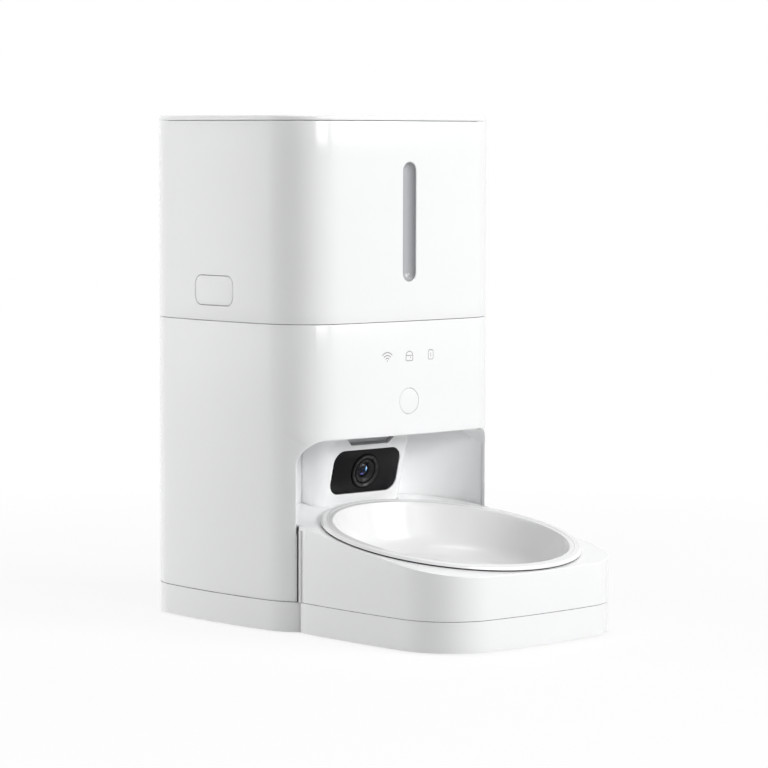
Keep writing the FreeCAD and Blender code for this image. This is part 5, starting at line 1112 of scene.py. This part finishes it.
signal_z = SIGN_LEVEL - 2.5
for radius, width in ((5.3, SIGN_LINE), (3.5, SIGN_LINE), (1.75, SIGN_LINE)):
    stroke(arc_points(-SIGN_PITCH, signal_z, radius, 137, 43), width)
stroke(arc_points(-SIGN_PITCH, signal_z, 0.22, 0, 345, 12), 0.44, closed=True)
jar = rounded_loop(2.9, 1.9, 0.9, 6, 5)
jar_line = jar[0] + 0.9 * jar[1] + (0, SIGN_LEVEL - 1.2)
stroke(jar_line[(jar_line[:, 1] < SIGN_LEVEL + 0.3)][::-1], SIGN_LINE * 0.8)
stroke(arc_points(0, SIGN_LEVEL, 2.9, 168, 12, 20), SIGN_LINE * 0.8)
for x, z in ((-1.1, 0.2), (1.0, -1.0)):
    stroke(arc_points(x, SIGN_LEVEL + z, 0.2, 0, 330, 10), 0.4, closed=True)
cell = rounded_loop(2.15, 2.9, 0.9, 6, 6)
stroke(cell[0] + 0.9 * cell[1] + (SIGN_PITCH, SIGN_LEVEL), SIGN_LINE * 0.6, closed=True)
stroke([(SIGN_PITCH + x, SIGN_LEVEL + 2.95) for x in (-1.4, 0, 1.4)], SIGN_LINE)
stroke([(SIGN_PITCH, SIGN_LEVEL + z) for z in (-1.3, 0, 1.3)], SIGN_LINE * 0.55)
add_piece("printed_signs", signs.mesh("printed_signs"), "housing", ink, sharp=80)


# Camera. A wedge-shaped white pod stands in the recess and looks a little down at the bowl; a
# black glossy panel fills its face, and the lens stands in the panel in a ring of its own.
CAMERA_MIDDLE = (0, 19.4, 94.0)
CAMERA_TILT = math.radians(14)
CAMERA_OUT = (0, -math.cos(CAMERA_TILT), -math.sin(CAMERA_TILT))
CAMERA_UP = (0, -math.sin(CAMERA_TILT), math.cos(CAMERA_TILT))
PANEL_HALF = (28.35, 14.55)
PANEL_CORNER = 8.2
PANEL_FACE = -0.3
PANEL_BACK = -2.3
LENS_HOLE = 8.6
LENS_RADIUS = 11.6


def camera_turned(name, profile, node, material, sharp=35):
    """A piece of the camera, turned about its axis; heights are measured outwards from the pod."""
    skin = Skin()
    numbers = skin.add(turned(profile, CAMERA_MIDDLE, CAMERA_OUT, 96))
    skin.web(np.concatenate([numbers, numbers[:1]]))
    return add_piece(name, skin.mesh(name), "housing", material, [node] if node else (), sharp)


panel_black = plastic("panel_black_gloss", (0.008, 0.008, 0.009), 0.09, grain=0.0, ior=1.22, bump=0.04)
panel = Skin()
core, out = rounded_loop(*PANEL_HALF, PANEL_CORNER, 10, 6)
around = core + PANEL_CORNER * out
hole = LENS_HOLE * around / np.linalg.norm(around, axis=1, keepdims=True)
panel_up = np.array(CAMERA_UP)
panel_out = np.array(CAMERA_OUT)


def panel_ring(points, height):
    """Points of the panel's face, each across and up from its middle, at a height out of it."""
    across = points[:, :1] * np.array([1.0, 0, 0])
    return CAMERA_MIDDLE + across + points[:, 1:] * panel_up + height * panel_out


turn = np.linspace(0, math.pi / 2, 4)
rings = [panel_ring(hole, PANEL_BACK), panel_ring(around, PANEL_BACK)]
for t in turn:
    grow = PANEL_CORNER - 0.35 * (1 - math.cos(t))
    rings.append(panel_ring(core + grow * out, PANEL_FACE - 0.35 * (1 - math.sin(t))))
rings.append(panel_ring(hole, PANEL_FACE))
numbers = panel.add(np.stack(rings))
panel.web(np.concatenate([numbers, numbers[:1]]))
add_piece("camera_front", panel.mesh("camera_front"), "housing", panel_black, ["camera_panel"])

ring_black = plastic("lens_ring_satin", (0.012, 0.012, 0.013), 0.16, grain=0.1, ior=1.38, bump=0.05)
ring_profile = rounded_line(
    [(LENS_HOLE, -0.3), (10.7, -0.3), (10.7, 0.7), (10.1, 0.7), (8.9, 0.1), (LENS_HOLE, 0.1)],
    [0.05, 0.05, 0.25, 0.3, 0.1, 0.1],
)
camera_turned("lens_bezel", ring_profile, "lens_ring", ring_black)
# Painted shade: a matt black ring round the bezel's outer edge stands for the shade on the bezel's side.
bezel_painted_shade_black = plastic("bezel_painted_shade_black", (0.004, 0.004, 0.004), 0.6, ior=1.15)
shade_ring_corners = [(10.7, -0.3), (LENS_RADIUS, -0.3), (LENS_RADIUS, 0.45), (10.7, 0.55)]
shade_ring_profile = rounded_line(shade_ring_corners, [0.05, 0.05, 0.2, 0.1])
camera_turned("lens_bezel_shade_ring", shade_ring_profile, None, bezel_painted_shade_black)
barrel_black = plastic("barrel_black_satin", (0.01, 0.01, 0.011), 0.22, grain=0.2, ior=1.3)
barrel_profile = rounded_line(
    [
        (4.6, -1.9),
        (5.1, -1.9),
        (5.5, -1.3),
        (7.3, -0.5),
        (7.5, -0.1),
        (7.8, -0.1),
        (7.9, -1.6),
        (8.4, -1.6),
        (8.4, -13.1),
        (4.6, -13.1),
    ],
    [0.05, 0.1, 0.2, 0.2, 0.1, 0.05, 0.1, 0.15, 0.2, 0.1],
)
camera_turned("lens_tube", barrel_profile, "lens_barrel", barrel_black)

# Lens. A domed front glass over black. Painted reflections in its colour give a pale blue highlight above
# the middle, a violet one below it, and a faint blue ring near its edge.
GLASS_RADIUS = 4.55
GLASS_FRONT = -0.75
GLASS_DOME = 7.6
glass = bpy.data.materials.new("lens_glass_painted_highlights")
tree = new_tree(glass)
here = tree.node("TexCoord", output="Object")
middle = tuple(0.001 * c for c in CAMERA_MIDDLE)
offset = tree.node("VectorMath", {"operation": "SUBTRACT"}, {0: here, 1: middle})
across = tree.node("VectorMath", {"operation": "DOT_PRODUCT"}, {0: offset, 1: (1000, 0, 0)}, output="Value")
upwards = tuple(1000 * c for c in CAMERA_UP)
up = tree.node("VectorMath", {"operation": "DOT_PRODUCT"}, {0: offset, 1: upwards}, output="Value")


def highlight_mask(x, z, half_wide, half_high, firm):
    """A soft oval mask for a painted highlight about a place on the glass, in millimetres: 1 less the
    squares of the two distances over its half sizes, made steeper by a factor and held between 0 and 1."""
    beside, above = (across - x) * (1 / half_wide), (up - z) * (1 / half_high)
    share = (1 - beside * beside - above * above) * firm
    return tree.node("Clamp", sockets={"Value": share})


# The glass's own colour is near black; the masks below paint reflections into it: a faint blue ring, a dark
# blue patch, a violet highlight below the middle, and a blue and a pale blue highlight above it.
glass_and_painted_highlights = (0.002, 0.002, 0.004, 1)
reach = across * across + up * up
# Painted reflection: a faint blue ring on the glass.
ring = tree.node("Clamp", sockets={"Value": 1 - tree.maths("ABSOLUTE", reach - 13.5) * 0.35})
for mask, colour in (
    (ring * 0.5, (0.01, 0.02, 0.05, 1)),
    (highlight_mask(-0.5, -0.4, 2.6, 2.9, 0.8), (0.005, 0.012, 0.035, 1)),
    (highlight_mask(-1.3, -2.2, 1.25, 0.75, 2.0), (0.14, 0.13, 0.5, 1)),
    (highlight_mask(1.5, 1.2, 0.95, 1.6, 2.5), (0.08, 0.4, 0.95, 1)),
    (highlight_mask(1.75, 1.5, 0.5, 1.1, 2.0), (0.7, 0.9, 1.0, 1)),
):
    glass_and_painted_highlights = tree.node("Mix", {"data_type": "RGBA"}, {0: mask, 6: glass_and_painted_highlights, 7: colour}, output=2)
dust = tree.node("TexNoise", sockets={"Vector": here, "Scale": 300.0, "Detail": 2.0})
shader = tree.node(
    "BsdfPrincipled",
    sockets={"Base Color": glass_and_painted_highlights, "Roughness": dust * 0.03 + 0.02, "IOR": 1.3},
)
tree.node("OutputMaterial", sockets={"Surface": shader})
dome = np.linspace(GLASS_RADIUS, 0, 14)
dome_high = GLASS_FRONT - GLASS_DOME + np.sqrt(GLASS_DOME**2 - dome**2)
glass_profile = np.concatenate([[(0, -4.0), (GLASS_RADIUS, -4.0)], np.stack([dome, dome_high], -1)])
camera_turned("lens_front_glass", glass_profile, "lens_glass", glass, 60)

# Chute's lip. A grey wedge shows under the recess's ceiling. Here it closes the step between the
# chute's tongue and the edge of the pod's mouth; what it does on the real feeder is a guess. Its grey is
# painted shade: darker than the chute, it stands for the shade inside the mouth.
LIP_HALF = 16.6
lip_line = np.array([(15.35, 111.3), (19.5, 111.3), (19.5, 114.2), (15.45, 111.75)])
lip = Skin()
lip_middle = lip_line.mean(0)
rings = [(lip_middle, -LIP_HALF), (lip_line, -LIP_HALF), (lip_line, LIP_HALF), (lip_middle, LIP_HALF)]
rows = [np.insert(np.broadcast_to(line, (4, 2)), 0, x, axis=1) for line, x in rings]
lip.web(lip.add(np.stack(rows)))
lip_shade_grey = plastic("lip_shade_grey", (0.5, 0.5, 0.51), 0.5, grain=2.0)
add_piece("mouth_lip", lip.mesh("mouth_lip"), "housing", lip_shade_grey)


# Camera pod and food mouth. The pod is one white moulding set into the recess under the mouth,
# through which the food slides down its chute.
def packed_copy(node, material, sharp=30.0):
    """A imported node's own mesh, merged, with its flat faces kept flat beside their round edges."""
    source = frame["nodes"][node]
    made = source.data.copy()
    piece = add_piece(node + "_finished", made, source["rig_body"], material, [node], sharp)
    weighted = piece.modifiers.new("even_faces", "WEIGHTED_NORMAL")
    weighted.keep_sharp = True
    return piece


packed_copy("camera_pod", shell_white)
inner_grey = plastic("inner_grey_matt", (0.6, 0.61, 0.62), 0.5, grain=2.0)
packed_copy("food_chute", inner_grey)

# Food tank. A separate grey bin of smooth food-safe plastic hangs in the tank's casing and runs
# down through a funnel to the outlet; the casing's white floor carries its shelf.
tank_grey = plastic("tank_grey_smooth", (0.55, 0.56, 0.57), 0.28, grain=0.4)
inner_white = plastic("inner_white_matt", (0.88, 0.88, 0.88), 0.5, grain=2.0)
for node in ("hopper_tank", "hopper_funnel", "food_shelf"):
    packed_copy(node, tank_grey)
packed_copy("hopper_base", inner_white)


# Seals, paddles and feet. All are moulded rubber: a soft light ring round the lid's skirt and
# under the outlet, flexible dark paddles on the rotor, and small dark feet pressed into the base.
def rubber(name, colour, roughness):
    """Rubber: a dull skin with a fine pitted grain and a bloom that pales it here and there by a
    tenth, both from noise."""
    material = bpy.data.materials.new(name)
    tree = new_tree(material)
    here = tree.node("TexCoord", output="Object")
    bloom = tree.node("TexNoise", sockets={"Vector": here, "Scale": 120.0, "Detail": 5.0})
    pale = [min(1.0, c * 1.1 + 0.02) for c in colour]
    tint = tree.node("Mix", {"data_type": "RGBA"}, {0: bloom, 6: (*colour, 1), 7: (*pale, 1)}, output=2)
    pits = tree.node("TexVoronoi", sockets={"Vector": here, "Scale": 1800.0})
    normal = tree.node("Bump", sockets={"Height": pits * 0.05, "Strength": 0.4, "Distance": 0.001})
    shader = tree.node(
        "BsdfPrincipled",
        sockets={"Base Color": tint, "Roughness": bloom * 0.15 + roughness, "IOR": 1.52, "Normal": normal},
    )
    tree.node("OutputMaterial", sockets={"Surface": shader})
    return material


seal_rubber = rubber("seal_rubber_soft", (0.75, 0.75, 0.75), 0.5)
paddle_rubber = rubber("paddle_rubber_soft", (0.25, 0.25, 0.26), 0.55)
foot_rubber = rubber("foot_rubber_matt", (0.2, 0.2, 0.2), 0.65)
for node, material in (
    ("lid_seal", seal_rubber),
    ("outlet_seal", seal_rubber),
    ("rotor_paddle", paddle_rubber),
    ("tower_feet", foot_rubber),
    ("tray_feet", foot_rubber),
):
    packed_copy(node, material, 40.0)

# Drying agent. A pouch of white fleece filled with beads lies in a matt white cup that plugs into
# the socket under the lid.
fleece = bpy.data.materials.new("fleece_pouch")
tree = new_tree(fleece)
here = tree.node("TexCoord", output="Object")
fibres = tree.node("TexNoise", sockets={"Vector": here, "Scale": 900.0, "Detail": 6.0, "Distortion": 2.0})
beads = tree.node("TexVoronoi", {"feature": "SMOOTH_F1"}, {"Vector": here, "Scale": 330.0})
tint = tree.node(
    "Mix", {"data_type": "RGBA"}, {0: fibres, 6: (0.93, 0.93, 0.91, 1), 7: (0.84, 0.84, 0.81, 1)}, output=2
)
height = fibres * 0.12 - beads * 0.5
normal = tree.node("Bump", sockets={"Height": height, "Strength": 0.6, "Distance": 0.001})
shader = tree.node(
    "BsdfPrincipled",
    sockets={"Base Color": tint, "Roughness": fibres * 0.1 + 0.85, "Sheen Weight": 0.3, "Normal": normal},
)
tree.node("OutputMaterial", sockets={"Surface": shader})
packed_copy("desiccant_pack", fleece)
packed_copy("desiccant_case", inner_white)

# Dispensing drive. The rotor's hub turns in a matt white housing on the deck; a natural acetal
# wheel under it is driven by a brass pinion from a small geared motor with a steel can.
packed_copy("top_deck", inner_white)
packed_copy("rotor_housing", inner_white)
packed_copy("rotor_hub", inner_grey)
for node in ("gear_cover", "gearbox"):
    packed_copy(node, inner_grey)
acetal = plastic("acetal_natural", (0.85, 0.84, 0.8), 0.38, grain=0.6)
packed_copy("rotor_gear", acetal, 25.0)


def metal(name, colour, roughness, stretch):
    """Metal with fine marks of tooling: noise squeezed along one way makes long scratches, which
    turn the normal and make the gloss uneven; a slower noise dulls the colour in patches."""
    material = bpy.data.materials.new(name)
    tree = new_tree(material)
    here = tree.node("TexCoord", output="Object")
    squeezed = tree.node("Mapping", sockets={"Vector": here, "Scale": stretch})
    marks = tree.node("TexNoise", sockets={"Vector": squeezed, "Scale": 900.0, "Detail": 3.0})
    patches = tree.node("TexNoise", sockets={"Vector": here, "Scale": 90.0, "Detail": 3.0})
    dull = [c * 0.82 for c in colour]
    tint = tree.node("Mix", {"data_type": "RGBA"}, {0: patches, 6: (*colour, 1), 7: (*dull, 1)}, output=2)
    normal = tree.node("Bump", sockets={"Height": marks * 0.03, "Strength": 0.3, "Distance": 0.001})
    shader = tree.node(
        "BsdfPrincipled",
        sockets={
            "Base Color": tint,
            "Metallic": 1.0,
            "Roughness": marks * 0.15 + (roughness - 0.07),
            "Normal": normal,
        },
    )
    tree.node("OutputMaterial", sockets={"Surface": shader})
    return material


brass = metal("brass_machined", (0.78, 0.62, 0.3), 0.25, (1, 1, 0.1))
steel = metal("steel_plain", (0.62, 0.62, 0.63), 0.3, (1, 1, 0.1))
packed_copy("drive_pinion", brass, 25.0)
packed_copy("motor_can", steel)
packed_copy("motor_shaft", steel)

# Springs, screws and contacts. Bright steel wire is wound into the springs behind the keys and the
# button; pan-headed screws hold the base from below, and leaf contacts meet the back-up cells.
spring_steel = metal("spring_steel_wire", (0.6, 0.6, 0.62), 0.22, (0.2, 1, 1))
for node in ("latch_spring_left", "latch_spring_right", "button_spring"):
    packed_copy(node, spring_steel, 60.0)
for node in ("base_screws", "joining_screws", "battery_contacts"):
    packed_copy(node, steel)


# Boards. Three lacquered green boards carry the camera, the front lights and the electronics, with
# copper tracks faintly raised under the lacquer.
board_green = bpy.data.materials.new("board_green_lacquer")
tree = new_tree(board_green)
here = tree.node("TexCoord", output="Object")
tracks = tree.node("TexBrick", {"offset": 0.37}, {"Vector": here, "Scale": 260.0, "Mortar Size": 0.06})
weave = tree.node("TexNoise", sockets={"Vector": here, "Scale": 1500.0, "Detail": 1.0})
track_lines = tracks.node("RGBToBW", sockets={"Color": tracks})
lacquer = (0.04, 0.19, 0.08, 1)
track_green = (0.07, 0.27, 0.13, 1)
tint = tree.node("Mix", {"data_type": "RGBA"}, {0: track_lines, 6: lacquer, 7: track_green}, output=2)
height = track_lines * 0.04 + weave * 0.02
normal = tree.node("Bump", sockets={"Height": height, "Strength": 0.5, "Distance": 0.001})
shader = tree.node(
    "BsdfPrincipled",
    sockets={"Base Color": tint, "Roughness": weave * 0.1 + 0.25, "Normal": normal},
)
tree.node("OutputMaterial", sockets={"Surface": shader})
for node in ("camera_board", "front_board", "main_board"):
    packed_copy(node, board_green)

# Sensors, switch, loudspeaker and socket. They are bought-in parts in matt black plastic; the
# loudspeaker faces the holes in the back wall, and the power socket stands in its opening.
sensor_black = plastic("sensor_black_matt", (0.05, 0.05, 0.05), 0.5, grain=2.0)
socket_black = plastic("socket_black_matt", (0.12, 0.12, 0.12), 0.45, grain=2.0)
for node in ("chute_sensors", "feed_switch", "speaker"):
    packed_copy(node, sensor_black)
packed_copy("power_inlet", socket_black)


# Lights. The lamps beside the lens are tinted epoxy bullets; a frosted clear guide carries the
# front board's lights up to the printed signs.
def clear_resin(name, colour, roughness, clear):
    """Resin that lets some light through: the share is even, and a slow noise clouds its gloss."""
    material = bpy.data.materials.new(name)
    tree = new_tree(material)
    here = tree.node("TexCoord", output="Object")
    cloud = tree.node("TexNoise", sockets={"Vector": here, "Scale": 400.0, "Detail": 3.0})
    deep = [c * 0.85 for c in colour]
    tint = tree.node("Mix", {"data_type": "RGBA"}, {0: cloud, 6: (*colour, 1), 7: (*deep, 1)}, output=2)
    shader = tree.node(
        "BsdfPrincipled",
        sockets={
            "Base Color": tint,
            "Roughness": cloud * 0.1 + roughness,
            "IOR": 1.5,
            "Transmission Weight": clear,
        },
    )
    tree.node("OutputMaterial", sockets={"Surface": shader})
    return material


packed_copy("ir_leds", clear_resin("led_tinted", (0.2, 0.16, 0.18), 0.05, 0.5), 40.0)
packed_copy("status_light_guide", clear_resin("guide_frosted", (0.85, 0.86, 0.87), 0.35, 0.5))

# Back-up cells. Three large round cells lie side by side in a grey box in the base, behind a door
# in its underside; their sleeves are plain.
cell_jacket = metal("cell_sleeve", (0.35, 0.36, 0.38), 0.35, (1, 0.1, 1))
packed_copy("battery_cells", cell_jacket, 40.0)
packed_copy("battery_box", inner_grey)


# Base. The pans under the tower and the tray follow the walls above them below a fine seam; a
# plate underneath ties the two together, and a door closes the cells' box.
def even_walls(piece, outline):
    """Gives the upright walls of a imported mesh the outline's own normals. A corner of a face that
    stands upright and lies on the outline, or on its inner wall, gets the direction from the centre
    of its arc, as found from the place's own angle about each of the three kinds of arc."""
    mesh = piece.data
    loops = len(mesh.loops)
    normals, at = np.empty(loops * 3), np.empty(loops, int)
    mesh.corner_normals.foreach_get("vector", normals)
    mesh.loops.foreach_get("vertex_index", at)
    points = np.empty(len(mesh.vertices) * 3)
    mesh.vertices.foreach_get("co", points)
    faces = np.empty(len(mesh.polygons) * 3)
    mesh.polygons.foreach_get("normal", faces)
    sizes = np.empty(len(mesh.polygons), int)
    mesh.polygons.foreach_get("loop_total", sizes)
    normals, points = normals.reshape(-1, 3), points.reshape(-1, 3)[at] * 1000
    faces = np.repeat(faces.reshape(-1, 3), sizes, axis=0)
    side = points[:, :2] - (0, outline.middle)
    for centre, radius, low, high in zip(
        outline.centres, outline.radii[[0, 1, 2]], (0, *outline.breaks), (*outline.breaks, math.pi / 2)
    ):
        out = np.abs(side) - centre
        angle = np.arctan2(out[:, 1], out[:, 0])
        inset = radius - np.hypot(out[:, 0], out[:, 1])
        on_arc = (angle > low - 1e-4) & (angle < high + 1e-4) & (np.abs(faces[:, 2]) < 0.02)
        way = np.sign(side) * np.stack([np.cos(angle), np.sin(angle)], -1)
        way = np.concatenate([way, 0 * way[:, :1]], 1)
        for where, sign in ((0.0, 1), (SHELL_WALL, -1)):
            chosen = on_arc & (np.abs(inset - where) < 0.05) & ((faces * way).sum(1) * sign > 0.9)
            normals[chosen] = sign * way[chosen]
    mesh.normals_split_custom_set(normals.tolist())


PAN_HAIR = 0.01


def keep_inside(mesh, outline):
    """Brings the points of a pan that stand out past its upright wall, where a screw's column runs
    through the corner, back on to the wall: along the line from the centre of the corner's arc."""
    points = np.empty(len(mesh.vertices) * 3)
    mesh.vertices.foreach_get("co", points)
    points = points.reshape(-1, 3)
    side = points[:, :2] * 1000 - (0, outline.middle)
    out = np.abs(side) - outline.centres[1]
    angle = np.arctan2(out[:, 1], out[:, 0])
    reach = np.hypot(out[:, 0], out[:, 1])
    wall = outline.radii[1] - PAN_HAIR
    corner = (angle > outline.breaks[0]) & (angle < outline.breaks[1]) & (reach > wall)
    ratio = np.where(corner, wall / reach, 1)[:, None]
    plan = np.sign(side) * (outline.centres[1] + out * ratio) + (0, outline.middle)
    points[corner, :2] = plan[corner] * 0.001
    mesh.vertices.foreach_set("co", points.ravel())


for node, outline in (("base_cover", TOWER), ("tray_base", TRAY)):
    source = frame["nodes"][node]
    copied = source.data.copy()
    keep_inside(copied, outline)
    pan = add_piece(node + "_finished", copied, "housing", shell_white, [node], 30.0)
    even_walls(pan, outline)
packed_copy("battery_door", shell_white)
packed_copy("joining_plate", inner_white)
packed_copy("bowl_well", inner_white, 35.0)
